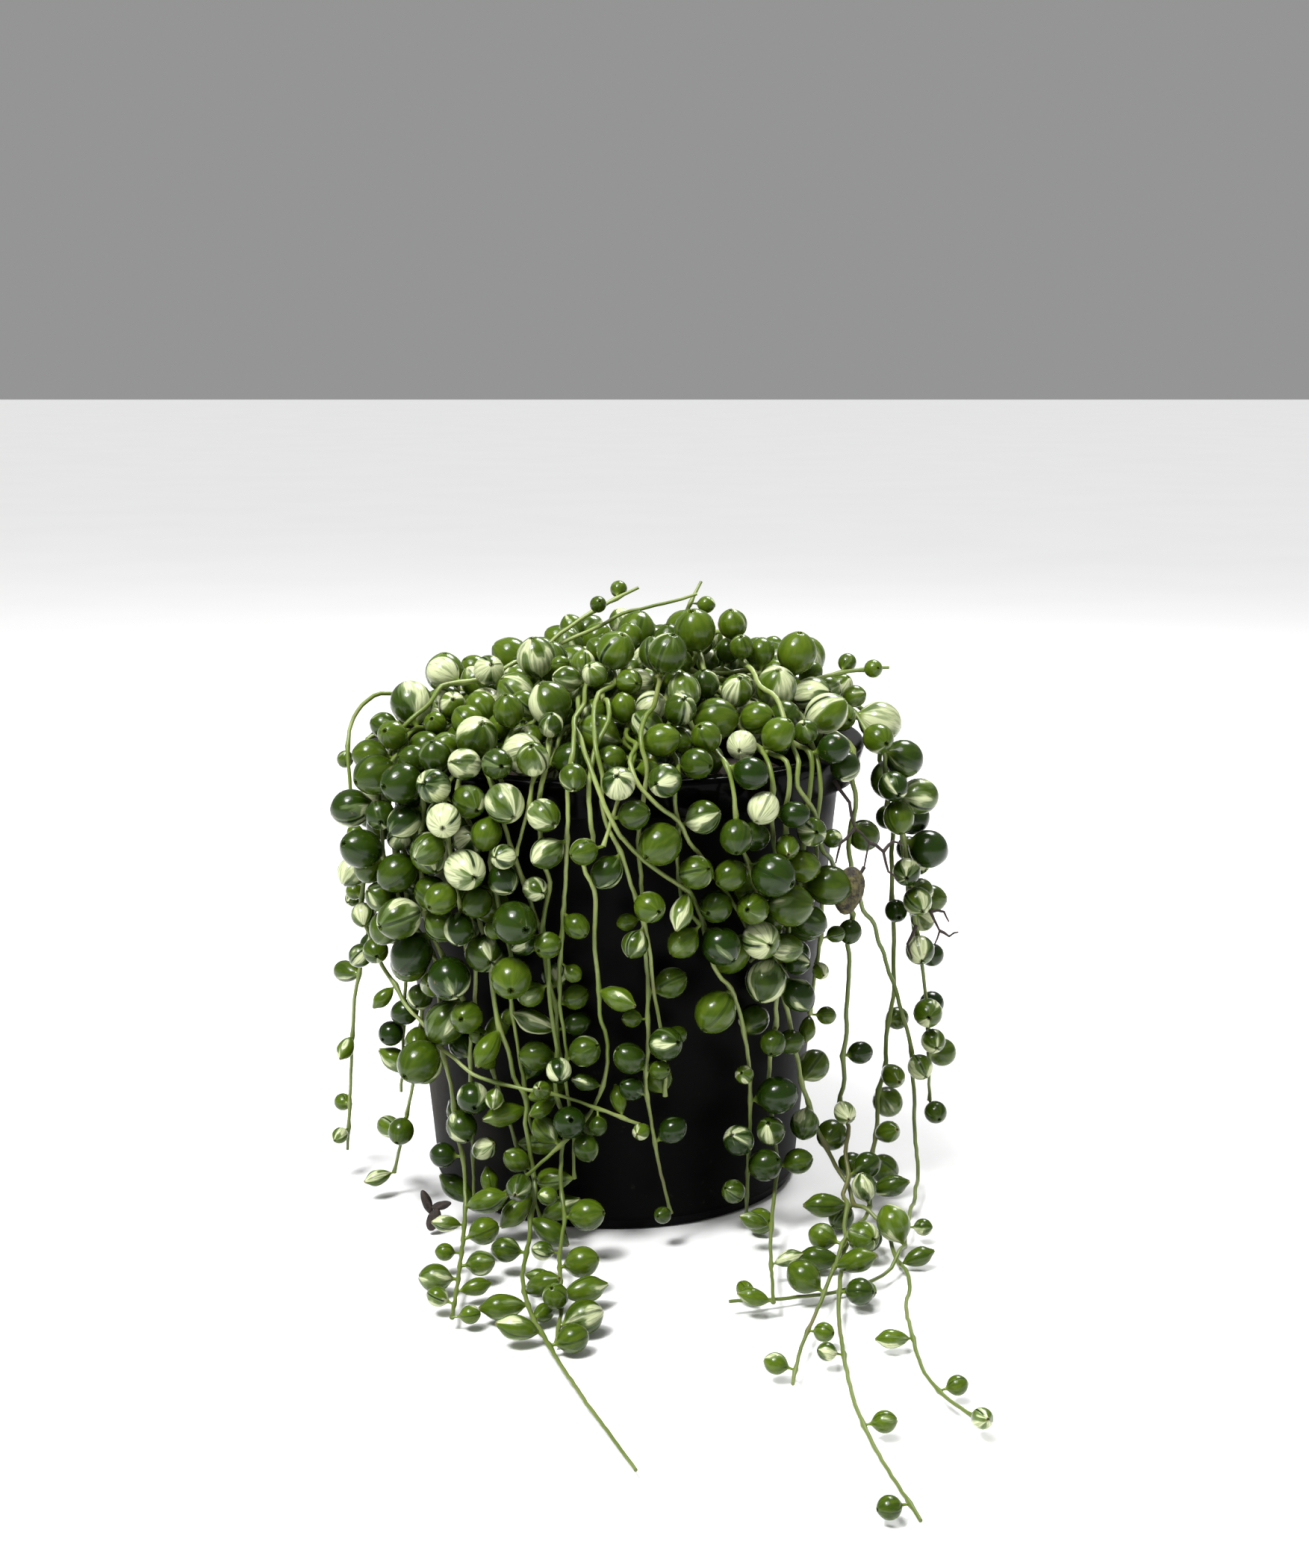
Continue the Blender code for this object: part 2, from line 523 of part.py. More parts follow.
    def drop_crowded(self):
        """Leaves off the few leaves that found no room."""
        crowd = np.zeros(len(self.centres))
        i, j = self.leaf_pairs
        deep = self.radius[i] + self.radius[j] - lengths(self.centres[j] - self.centres[i])
        np.maximum.at(crowd, i, deep)
        np.maximum.at(crowd, self.leaf_stems[0], self.leaf_to_stem()[2])
        stay = crowd < 0.12
        self.leaves = [leaf for leaf, kept in zip(self.leaves, stay) if kept]
        self.centres, self.stalk = self.centres[stay], self.stalk[stay]
        self.radius, self.toward = self.radius[stay], self.toward[stay]
        self.reach = self.reach[stay]
        self.find_neighbours()

    def settle(self):
        for turn in range(ROUNDS):
            if turn == THIN_ROUND:
                self.drop_crowded()
            elif turn % 12 == 0:
                self.find_neighbours()
            self.hold_shape(REST_EASE if turn >= ROUNDS - REST_ROUNDS else 1.0)
            self.push_apart()
            self.clear_pot()
            self.nodes = np.round(self.nodes, 6)
            self.centres = np.round(self.centres, 6)
        for leaf, centre in zip(self.leaves, self.centres):
            leaf["centre"] = centre
        for i, strand in enumerate(self.strands):
            strand["nodes"] = self.nodes[self.starts[i]:self.starts[i + 1]]
            strand["leaves"] = [leaf for leaf in strand["leaves"] if "centre" in leaf]


# ---------------------------------------------------------------- modelling


def new_collection(name):
    collection = bpy.data.collections.new(name)
    bpy.context.scene.collection.children.link(collection)
    return collection


def new_material(name, color, roughness, metallic=0.0):
    material = bpy.data.materials.new(name)
    material.use_nodes = True
    shader = material.node_tree.nodes["Principled BSDF"]
    shader.inputs["Base Color"].default_value = (*color, 1.0)
    shader.inputs["Roughness"].default_value = roughness
    shader.inputs["Metallic"].default_value = metallic
    material.diffuse_color = (*color, 1.0)
    return material


def add_object(name, data, collection, material):
    obj = bpy.data.objects.new(name, data)
    collection.objects.link(obj)
    data.materials.append(material)
    return obj


def as_cutter(obj, collection):
    for owner in list(obj.users_collection):
        owner.objects.unlink(obj)
    collection.objects.link(obj)
    obj.hide_render = True
    obj.display_type = "WIRE"


def add_boolean(obj, other, operation):
    modifier = obj.modifiers.new(operation.title(), "BOOLEAN")
    modifier.operation = operation
    modifier.solver = "EXACT"
    modifier.object = other


def turned(name, profile, collection, material):
    """A solid of revolution from an outline of (radius, height) in millimetres."""
    mesh = bpy.data.meshes.new(name)
    points = [(r * MM, 0.0, z * MM) for r, z in profile]
    mesh.from_pydata(points, [(i, i + 1) for i in range(len(points) - 1)], [])
    obj = add_object(name, mesh, collection, material)
    screw = obj.modifiers.new("Screw", "SCREW")
    screw.axis = "Z"
    screw.steps = TURN_STEPS
    screw.render_steps = TURN_STEPS
    screw.use_merge_vertices = True
    screw.merge_threshold = 0.00001
    screw.use_smooth_shade = True
    return obj


def arc(centre_r, centre_z, radius, start, end, count):
    """Points of an arc in the outline's plane, angles in degrees from straight out."""
    points = []
    for i in range(count):
        angle = math.radians(start + (end - start) * i / (count - 1))
        points.append((centre_r + radius * math.cos(angle), centre_z + radius * math.sin(angle)))
    return points


def wall_radius(z):
    return BASE_RADIUS + (WALL_TOP_RADIUS - BASE_RADIUS) * min(z, WALL_TOP) / WALL_TOP


def build_pot(parts, cutters, material):
    """Thin moulded pot: tapered wall, turned-down collar with a round lip, drainage holes."""
    inner_floor = wall_radius(FLOOR_THICKNESS) - WALL
    lip_top = POT_HEIGHT - LIP_RADIUS
    outline = [(0.0, FLOOR_THICKNESS), (inner_floor, FLOOR_THICKNESS)]
    outline.append((WALL_TOP_RADIUS - WALL, WALL_TOP))
    outline.append((WALL_TOP_RADIUS - WALL + 1.2, POT_HEIGHT - 2.4))
    outline += arc(RIM_RADIUS - 3.2, lip_top, LIP_RADIUS, 150, 90, 3)
    outline += arc(RIM_RADIUS - LIP_RADIUS, lip_top, LIP_RADIUS, 90, 0, 4)
    outline.append((RIM_RADIUS - 1.4, WALL_TOP))
    outline.append((RIM_RADIUS - 1.4 - WALL, WALL_TOP))
    outline.append((RIM_RADIUS - WALL - 0.8, lip_top - 0.6))
    outline.append((WALL_TOP_RADIUS + 1.6, lip_top - 0.6))
    outline.append((WALL_TOP_RADIUS, WALL_TOP))
    outline.append((wall_radius(1.2), 1.2))
    outline += [(BASE_RADIUS - 1.0, 0.0), (0.0, 0.0)]
    pot = turned("pot", outline, parts, material)
    for i in range(HOLE_COUNT):
        angle = 2 * math.pi * (i + 0.5) / HOLE_COUNT
        place = Vector((math.cos(angle), math.sin(angle), 0.0)) * HOLE_RING * MM
        bpy.ops.mesh.primitive_cylinder_add(
            vertices=HOLE_SIDES, radius=HOLE_RADIUS * MM, depth=3 * FLOOR_THICKNESS * MM, location=place)
        hole = bpy.context.object
        hole.name = f"drain_cutter_{i + 1}"
        as_cutter(hole, cutters)
        add_boolean(pot, hole, "DIFFERENCE")
    return pot


def build_soil(parts, material):
    """Soil that fills the pot to just below its mouth."""
    bottom = FLOOR_THICKNESS + SOIL_GAP
    low = wall_radius(bottom) - WALL - SOIL_GAP
    high = wall_radius(SOIL_TOP) - WALL - SOIL_GAP
    outline = [(0.0, SOIL_TOP), (high - 1.0, SOIL_TOP), (high, SOIL_TOP - 1.0)]
    outline += [(low, bottom), (0.0, bottom)]
    return turned("soil", outline, parts, material)


def straightened(nodes, joined):
    """Drops the nodes that a straight stem passes anyway, but none that a leaf is joined to."""
    keep = [0]
    while keep[-1] < len(nodes) - 1:
        start = keep[-1]
        end = start + 1
        while end + 1 < len(nodes) and end not in joined and (
                strays(nodes[start:end + 2]) < STRAIGHT_ENOUGH):
            end += 1
        keep.append(end)
    return nodes[keep]


def strays(run):
    """How far the inner points of a run lie from the line between its ends."""
    line = unit(run[-1] - run[0])
    offset = run[1:-1] - run[0]
    return lengths(offset - (offset * line).sum(1)[:, None] * line).max()


def stem_section(cutters):
    """The three-sided outline that every stem's tube has in section."""
    curve = bpy.data.curves.new("stem_section", "CURVE")
    curve.dimensions = "2D"
    spline = curve.splines.new("POLY")
    spline.points.add(2)
    spline.use_cyclic_u = True
    for i, point in enumerate(spline.points):
        angle = 2 * math.pi * i / 3
        reach = SECTION_RADIUS * MM
        point.co = (reach * math.cos(angle), reach * math.sin(angle), 0.0, 1.0)
    section = bpy.data.objects.new("stem_section", curve)
    as_cutter(section, cutters)
    return section


def build_stem(name, strand, section, parts, material):
    """A thin tube with closed ends along the stem's nodes, as a mesh."""
    curve = bpy.data.curves.new(name, "CURVE")
    curve.dimensions = "3D"
    curve.bevel_mode = "OBJECT"
    curve.bevel_object = section
    curve.use_fill_caps = True
    joined = {leaf["node"] for leaf in strand["leaves"] if is_solid_leaf(leaf)}
    path = straightened(strand["nodes"], joined)
    spline = curve.splines.new("POLY")
    spline.points.add(len(path) - 1)
    for point, place in zip(spline.points, path):
        point.co = (*(place * MM), 1.0)
    guide = bpy.data.objects.new(name, curve)
    parts.objects.link(guide)
    seen = guide.evaluated_get(bpy.context.evaluated_depsgraph_get())
    mesh = bpy.data.meshes.new_from_object(seen)
    bpy.data.objects.remove(guide)
    bm = bmesh.new()
    bm.from_mesh(mesh)
    bmesh.ops.remove_doubles(bm, verts=bm.verts, dist=0.00001)
    bmesh.ops.recalc_face_normals(bm, faces=bm.faces)
    bm.to_mesh(mesh)
    bm.free()
    return add_object(name, mesh, parts, material)


def build_leaves(name, strand, cutters, material):
    """The strand's leaves: faceted pearls and drops whose points reach into the stem."""
    bm = bmesh.new()
    for leaf in strand["leaves"]:
        if not is_solid_leaf(leaf):
            continue
        stalk = attachment(strand["nodes"], leaf["node"])
        centre = Vector(leaf["centre"])
        drop = leaf["kind"] in DROPS
        width = leaf["radius"] * (DROP_WIDTH if drop else 1.0)
        length = leaf["radius"] * (DROP_LENGTH if drop else 1.0)
        ball = bmesh.ops.create_icosphere(bm, subdivisions=1, radius=1.0)["verts"]
        turn = (stalk - centre).to_track_quat("Z", "Y")
        tip = max(ball, key=lambda vert: vert.co.z)
        for vert in ball:
            x, y, z = vert.co
            vert.co = (centre + turn @ Vector((x * width, y * width, z * length))) * MM
        tip.co = stalk * MM
    mesh = bpy.data.meshes.new(name)
    bm.to_mesh(mesh)
    bm.free()
    obj = add_object(name, mesh, cutters, material)
    as_cutter(obj, cutters)
    return obj


def attachment(nodes, i):
    """Where a leaf joins its stem: at the node, or just short of the stem's end."""
    if i < len(nodes) - 1:
        return Vector(nodes[i])
    return Vector(nodes[i] + unit(nodes[i - 1] - nodes[i]) * STEM_RADIUS * 1.5)


def is_solid_leaf(leaf):
    """Small leaves, and the leaves low in the crown, are too small or too deep to be felt."""
    x, y, z = leaf["centre"]
    hanging = math.hypot(x, y) > RIM_REACH
    on_top = z > crown_height(x, y) + 2.5 and leaf["radius"] > TOP_RADIUS
    return on_top or (hanging and leaf["radius"] > SOLID_RADIUS)


def build_strand(strand, section, parts, cutters, stem_material, leaf_material):
    name = "strand_" + strand["name"]
    stem = build_stem(name, strand, section, parts, stem_material)
    if any(is_solid_leaf(leaf) for leaf in strand["leaves"]):
        leaves = build_leaves(strand["name"] + "_leaf_shapes", strand, cutters, leaf_material)
        add_boolean(stem, leaves, "UNION")
    return stem


def main():
    for obj in list(bpy.data.objects):
        bpy.data.objects.remove(obj)
    parts = new_collection("potted_string_of_pearls")
    cutters = new_collection("cutters")
    pot_black = new_material("pot_plastic", (0.012, 0.012, 0.012), 0.28)
    soil_brown = new_material("potting_soil", (0.030, 0.020, 0.013), 0.95)
    leaf_green = new_material("leaf", (0.10, 0.24, 0.04), 0.30)
    stem_green = new_material("stem", (0.22, 0.32, 0.08), 0.50)
    build_pot(parts, cutters, pot_black)
    build_soil(parts, soil_brown)
    section = stem_section(cutters)
    for strand in grow_strands():
        build_strand(strand, section, parts, cutters, stem_green, leaf_green)


if __name__ == "__main__":
    main()
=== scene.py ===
"""Potted string of pearls: the finished look of the pot, soil, stems and leaves.

The strands lie where the solid model has them. Each gets a round stem and smooth pointed leaves
with cream sectors and a dark window stripe; the pot and the soil get their own finished shapes.
"""

import math
import random

import bmesh
import bpy
import numpy as np
from mathutils import Matrix, Vector


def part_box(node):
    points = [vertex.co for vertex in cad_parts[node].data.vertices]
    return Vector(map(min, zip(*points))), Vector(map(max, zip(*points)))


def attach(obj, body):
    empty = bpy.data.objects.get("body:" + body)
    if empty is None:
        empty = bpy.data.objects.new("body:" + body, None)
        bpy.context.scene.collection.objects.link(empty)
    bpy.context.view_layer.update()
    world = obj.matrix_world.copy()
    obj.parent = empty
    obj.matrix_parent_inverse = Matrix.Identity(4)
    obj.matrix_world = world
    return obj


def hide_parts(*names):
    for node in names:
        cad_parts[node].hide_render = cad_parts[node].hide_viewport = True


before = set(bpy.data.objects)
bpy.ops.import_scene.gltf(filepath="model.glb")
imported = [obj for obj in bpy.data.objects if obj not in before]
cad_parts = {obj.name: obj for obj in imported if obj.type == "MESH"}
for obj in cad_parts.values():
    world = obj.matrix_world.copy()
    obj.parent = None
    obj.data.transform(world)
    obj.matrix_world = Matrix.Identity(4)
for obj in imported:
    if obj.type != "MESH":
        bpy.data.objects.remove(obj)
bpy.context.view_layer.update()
POT_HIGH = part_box("pot")[1]
SOIL_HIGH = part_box("soil")[1]

bl_info = {
    "name": "Potted string of pearls",
    "version": (1, 0, 0),
    "blender": (4, 5, 0),
    "location": "3D View > Sidebar > Pearls",
    "description": "Builds a nursery pot of variegated string of pearls",
    "category": "Add Mesh",
}

MM = 0.001

# Sizes of the pot and of the plant's pattern of growth, in millimetres
POT_HEIGHT = POT_HIGH.z / MM
RIM_RADIUS = round(POT_HIGH.x / MM, 2)
SOIL_TOP = round(SOIL_HIGH.z / MM, 2)
MOUTH_RADIUS = 48.5
COLLAR_HEIGHT = 8.0
BASE_RADIUS = 40.5
WALL_TOP_RADIUS = 49.5
WALL_TOP = POT_HEIGHT - COLLAR_HEIGHT
WALL = 1.2
FLOOR_THICKNESS = 1.6
LIP_RADIUS = 1.3
HOLE_COUNT = 8
HOLE_RADIUS = 3.5
SOIL_GAP = 0.4

STEM_RADIUS = 0.65
NODE_SPACING = 5.5
PETIOLE = 1.6
CLEARANCE = 0.6
ROOT_HEIGHT = 89.2
CROWN_HEIGHT = 17.0
CROWN_RADIUS = 50.0
RIM_REACH = 53.0
BARE_LIFT = 9.0
RIM_CREST = 109.0
CROWN_SWEEP = (50, 110)
CROWN_START = (3, 14)
CROWN_END = (34, 49)
CROWN_LEAN = 0.15
CROWN_LEAN_FROM = 10.0
ROOTED_NODES = 5
CROWN_LEAVES = "PBBPBbBPO"
LEFT_GAP = (-37.0, -24.0)
BACK_FROM = 132.0
BACK_SPAN = 96.0
BACK_DROP = (35, 98)
BACK_DRIFT = (-9, 9)
LEAN = (0.1, 0.9)
LYING_LEAN = (0.0, 0.35)
LYING_BAND = 8.0
SAG = (0.1, 0.7)
FORWARD = (-0.2, 0.4)
SIZE_SPREAD = 0.07

SEED = 11
ROUNDS = 480
REST_ROUNDS = 140
REST_EASE = 0.1
THIN_ROUND = ROUNDS - 120
CROWDED = 0.12
HOME_PULL = 0.02
STIFFNESS = 0.3
LEAF_PULL = 0.03
LEAF_SHARE = 0.6
BACK_COUNT = 10
CROWN_COUNT = 11

# Leaf sizes by letter: O, P, B and b are round, D and d are young pointed drops.
LEAF_RADIUS = {"O": 4.4, "P": 3.4, "B": 2.8, "b": 2.0, "D": 3.2, "d": 2.3}
DROPS = "Dd"
YOUNG_KINDS = "bdD"

# Looks only: shapes, in millimetres
POT_SIDES = 128
HOLE_RING = BASE_RADIUS - 7.0
SOIL_SIDES = 72
SOIL_RINGS = 14
SOIL_RING_STEP = 3.0
SOIL_BUMPS = (-0.9, 0.3)
STEM_SMOOTHING = 3
STEM_NUDGE = 0.10
STEM_WIDTH = 1.05
JOINT_SWELL = 0.40
PEARL_TIP = 0.10
DROP_TIP = 0.30
DROP_BELLY = 0.24
CAGE_SWELL = 1.04
DROP_WIDTH = 0.80
DROP_LENGTH = 1.18
NECK = 1.2
NECK_LENGTH = 0.42
NECK_WIDTH = 3.0
SHORTEST_NECK = 0.2
ROOTLET_RADIUS = 0.42

# Looks only: colouring. Shares run from 0 to 1, and each leaf draws its own
LEAF_SEED = 29
CREAMY_FROM = 86.0
CROWN_BIAS = 0.28
STRAND_BIAS = 0.9
GREEN_SHARE = 0.50
STRIPED_SHARE = 0.97
YOUNG_ABOVE = POT_HEIGHT + 5.0
YOUNG_BELOW = 12.0

# The stage: powers, turns in degrees, places in metres
SKY_POWER = 0.30
SUN_POWER = 2.3
SUN_SPREAD = 32
SUN_TURN = (18, -16)
SOFTBOXES = (
    ("key_light", (-0.30, -0.42, 0.75), 0.22, 7.0),
    ("back_light", (0.20, 0.40, 0.70), 0.30, 6.0),
)
LENS = 52.3
CAMERA_PLACE = (0.0087, -0.497, 0.1874)
CAMERA_PITCH = 0.196

# Listed strands: the leaves from the rim to the tip, one letter a stem node, and the route.
# A route point is an angle from the front in degrees, a distance from the pot's axis and a
# height; a point with no height lies on the crown.
FRONT_STRANDS = {
    "far_left_short": (".b...b.b.b", [
        (-130, 18), (-100, 34, 107), (-92, 50, 110), (-84, 59, 107), (-74, 60, 95), (-77, 58, 83),
        (-79, 57, 72)]),
    "long_sweep": (".......P..bB.BB..d...O....b..d..b.dd", [
        (-60, 12), (-54, 32), (-52, 49, 110), (-54, 59, 102), (-56, 60, 86), (-60, 62, 76),
        (-65, 61, 67), (-64, 58, 57), (-48, 56, 45), (-35, 53, 37), (-20, 54, 35), (-7, 53, 33),
        (6, 51, 28)]),
    "outer_left": ("...b.....B..D..d..bb", [
        (-110, 22), (-85, 38, 106), (-64, 58, 103), (-54, 58, 82), (-60, 57, 70), (-72, 57, 58),
        (-82, 59, 45), (-82, 60, 25), (-82, 61, 9)]),
    "left_bare": (".PP.P.P....B..", [
        (-60, 24), (-54, 40), (-49, 58, 102), (-49, 56, 73), (-54, 55, 60), (-59, 53, 45),
        (-63, 52, 27)]),
    "left_inner": ("POPPOPPP..B.BD.D.BD.d", [
        (-80, 18), (-58, 36), (-47, 58, 102), (-45, 56, 75), (-48, 54, 55), (-51, 52, 44),
        (-55, 52, 30), (-66, 53, 7)]),
    "big_pearls_left": ("POPOOPOPOO.O.D.D..D.DD", [
        (-50, 12), (-45, 36), (-43, 59, 101), (-42, 57, 73), (-37, 54, 53), (-35, 52, 46),
        (-30, 50, 38), (-25, 49, 22), (-19, 48, 6)]),
    "big_pearls_right": (".PPOPOOPO...PbBP.DD.D", [
        (-30, 18), (-38, 38), (-37, 60, 101), (-38, 57, 88), (-33, 55, 75), (-30, 54, 60),
        (-33, 52, 45), (-36, 51, 30), (-36, 50, 8)]),
    "left_drops": ("POP.PPObO.d..BD.", [
        (-20, 22), (-28, 40), (-28, 59, 103), (-26, 58, 88), (-25, 58, 78), (-26, 55, 67),
        (-25, 53, 57), (-21, 51, 40), (-18, 50, 26)]),
    "front_left_long": ("P...PB....BBDBP..B.D", [
        (-10, 16), (-25, 38), (-24, 59, 103), (-21, 56, 85), (-18, 56, 79), (-15, 54, 64),
        (-13, 52, 55), (-10, 50, 36), (-10, 49, 16)]),
    "front_left_short": ("B..P..BBbB..P.", [
        (5, 12), (-8, 33), (-8, 58, 107), (-8, 60, 93), (-9, 56, 79), (-11, 54, 62), (-11, 52, 49),
        (-11, 51, 38)]),
    "front_bare": ("....P..PB......b.P", [
        (15, 10), (0, 32), (-4, 60, 106), (3, 58, 84), (9, 55, 71), (10, 53, 58), (14, 51, 42),
        (12, 51, 36)]),
    "front_beads": ("........b..PbPPbB.B..b", [
        (30, 16), (15, 38), (8, 59, 106), (5, 58, 98), (7, 52, 70), (8, 51, 51), (7, 50, 35),
        (9, 49, 20), (14, 49, 8)]),
    "front_right_drape": (".......D.O..O.P.bO.PPBB", [
        (-20, 10), (-12, 33), (-6, 60, 106), (4, 60, 93), (13, 59, 88), (21, 56, 77), (27, 54, 61),
        (33, 52, 50), (36, 51, 35), (37, 50, 25), (36, 49, 12), (35, 49, 4)]),
    "front_right_cross": ("........P.OO.B..d", [
        (20, 12), (5, 38), (4, 60, 103), (13, 59, 88), (24, 56, 78), (31, 55, 68), (42, 54, 55),
        (50, 53, 47)]),
    "right_long_trail": ("....D...D.B....PP.P..B....d......d...b.d", [
        (60, 16), (40, 40), (38, 59, 102), (38, 57, 80), (40, 54, 60), (46, 53, 42), (52, 52, 25),
        (60, 57, 7), (52, 72, 4), (47, 80, 3), (39, 96, 3), (34, 101, 3), (30, 113, 3), (25, 129, 3),
        (24, 137, 3), (26, 140, 3)]),
    "right_low_trail": ("P..P.O..O.P.BB...P.B..d..d..d", [
        (45, 12), (50, 38), (46, 58, 102), (42, 56, 75), (40, 54, 55), (40, 51, 37), (42, 50, 16),
        (38, 54, 5), (28, 68, 4), (21, 88, 3)]),
    "right_bare_loop": ("............B.......bP..d..d", [
        (80, 15), (50, 40), (40, 59, 103), (39, 59, 95), (53, 58, 77), (68, 59, 65), (80, 62, 48),
        (84, 67, 30), (83, 68, 10), (74, 70, 3), (55, 76, 3), (38, 93, 3), (28, 88, 3), (18, 87, 3)]),
    "right_thin": ("B...b..B.bd.b", [
        (100, 10), (60, 36), (48, 58, 105), (46, 59, 95), (47, 58, 86), (48, 57, 71), (49, 55, 49)]),
    "right_cluster_inner": ("OPOPOP.OPBPBPB.PBBP.B", [
        (120, 12), (85, 38), (78, 57, 107), (77, 62, 98), (82, 64, 80), (84, 66, 68), (83, 68, 55),
        (83, 71, 40), (83, 71, 20)]),
    "right_cluster_outer": ("POPOPPBP.b", [
        (60, 20), (75, 40), (86, 58, 107), (90, 63, 98), (91, 64, 85), (92, 65, 70), (89, 67, 55)]),
    "right_drops_trail": ("....B...B...B.DP.DPBDB.PB.D.P..b..b", [
        (110, 24), (100, 43, 107), (94, 58, 106), (93, 62, 90), (89, 62, 65), (86, 63, 45),
        (84, 61, 28), (72, 60, 12), (55, 67, 4), (38, 76, 4), (25, 96, 3), (18, 110, 3),
        (16, 122, 3)]),
    "right_far_trail": ("P..P...B.....B.D..B.DB.D..B....b....b....b", [
        (70, 16), (62, 40), (58, 59, 104), (60, 58, 80), (62, 57, 50), (63, 55, 20), (55, 62, 5),
        (36, 80, 4), (27, 96, 3), (22, 115, 3), (18, 140, 3), (17, 173, 3)]),
    "front_floor_pearls": ("......B....B.dP..bP.bPdDBP", [
        (-25, 12), (-18, 38), (-15, 59, 105), (-14, 57, 85), (-14, 54, 55), (-14, 50, 25),
        (-13, 50, 10), (-11, 57, 5), (-8, 80, 5), (-5, 96, 3)]),
    "front_floor_drops": ("P..P..B..D..D.B.D.B.DDdDB.......", [
        (-35, 16), (-32, 40), (-32, 59, 104), (-30, 56, 75), (-24, 53, 45), (-20, 50, 20),
        (-17, 56, 5), (-15, 70, 4), (-12, 85, 4), (-7, 100, 2), (-2, 122, 2), (2, 147, 2)]),
    "left_floor_drops": ("P.P.B.B...D..D.P.B.DdBbBBdbb", [
        (-70, 12), (-58, 38), (-50, 58, 104), (-47, 57, 75), (-42, 54, 45), (-38, 51, 18),
        (-34, 54, 5), (-28, 65, 4), (-22, 80, 3), (-19, 92, 3)]),
    "crossing_low": ("..........D....d.B.B.D.d", [
        (10, 12), (-2, 35), (-3, 60, 106), (-4, 57, 80), (-2, 53, 50), (3, 51, 34), (-6, 51, 26),
        (-16, 51, 19), (-26, 51, 9)]),
    "left_rim_outer": ("POPPOPPO.", [
        (-60, 24), (-54, 42, 106), (-49, 60, 100), (-47, 59, 85), (-45, 57, 70), (-42, 55, 58)]),
    "left_rim_inner": ("PPPOPP.", [
        (-30, 26), (-36, 44), (-34, 60, 102), (-33, 60, 90), (-30, 59, 78), (-29, 57, 66)]),
    "front_rim_middle": ("PPOP.P", [
        (25, 22), (16, 42), (12, 60, 102), (12, 59, 92), (14, 58, 82), (18, 56, 75)]),
    "front_rim_right": ("P.POPOP.P", [
        (35, 22), (26, 44), (24, 60, 101), (26, 58, 90), (30, 57, 78), (33, 56, 70), (34, 55, 60)]),
    "front_rim_far_right": ("PBPPOPBP", [
        (50, 22), (36, 43), (32, 60, 101), (33, 59, 90), (37, 57, 80), (40, 56, 68), (42, 55, 58)]),
    "front_rim_left": ("PP.B", [(-15, 26), (-16, 44), (-18, 59, 103), (-18, 59, 92)]),
    "front_rim_centre": ("PPB", [(0, 28), (3, 44), (4, 59, 103), (1, 60, 94)]),
    "crown_pair": ("......bb", [(-59, 29), (-67, 16, 122), (-76, 9, 129), (37, 3, 131)]),
    "crown_tip": ("....b..b", [(60, 10), (80, 13, 122), (100, 18, 131)]),
    "crown_bare": ("........", [(-110, 24), (-68, 22, 117), (-35, 6, 123), (90, 14, 129)]),
    "crown_right_tip": ("......bb", [(77, 34), (78, 45, 115), (79, 52, 117), (80, 57, 116)]),
}

# Strands whose stems lie bare on top of the crown
BARE_OVER_CROWN = {
    "long_sweep", "front_left_short", "front_bare", "front_beads", "front_right_drape",
    "right_bare_loop", "outer_left", "crossing_low"}

# ---------------------------------------------------------------- where the strands lie


def crown_height(x, y):
    """Height of the crown's stems: a dome that leans a little to the right."""
    rise = CROWN_HEIGHT * (1 - (x * x + y * y) / CROWN_RADIUS ** 2)
    return POT_HEIGHT + 3.0 + rise - CROWN_LEAN * max(0.0, CROWN_LEAN_FROM - x)


def route_point(point, lift):
    """A route's angle, radius and height as x, y and z; lift raises it over the crown."""
    angle = math.radians(point[0])
    x = point[1] * math.sin(angle)
    y = -point[1] * math.cos(angle)
    z = point[2] if len(point) > 2 else crown_height(x, y) + lift * point[1] / RIM_REACH
    return (x, y, z)


def curve_place(corners, t):
    """Where a smooth curve is between the middle two of four corners, t from 0 to 1."""
    a, b, c, d = corners
    cubic = (2 * a - 5 * b + 4 * c - d) * t ** 2 + (3 * b - a - 3 * c + d) * t ** 3
    return 0.5 * (2 * b + (c - a) * t + cubic)


def smooth_route(points):
    """Stem nodes at even spacing along a smooth curve through the points."""
    p = np.array(points, float)
    p = np.vstack([2 * p[0] - p[1], p, 2 * p[-1] - p[-2]])
    fine = []
    for i in range(1, len(p) - 2):
        for t in np.arange(0, 1, 0.05):
            fine.append(curve_place(p[i - 1:i + 3], t))
    fine.append(p[-2])
    fine = np.array(fine)
    along = np.concatenate([[0], np.cumsum(lengths(fine[1:] - fine[:-1]))])
    count = max(4, int(round(along[-1] / NODE_SPACING)) + 1)
    at = np.linspace(0, along[-1], count)
    return np.stack([np.interp(at, along, fine[:, k]) for k in range(3)], 1)


def lengths(vectors):
    return np.sqrt(vectors[:, 0] ** 2 + vectors[:, 1] ** 2 + vectors[:, 2] ** 2)


def unit(vector):
    return vector / max(1e-9, math.sqrt(float((vector * vector).sum())))


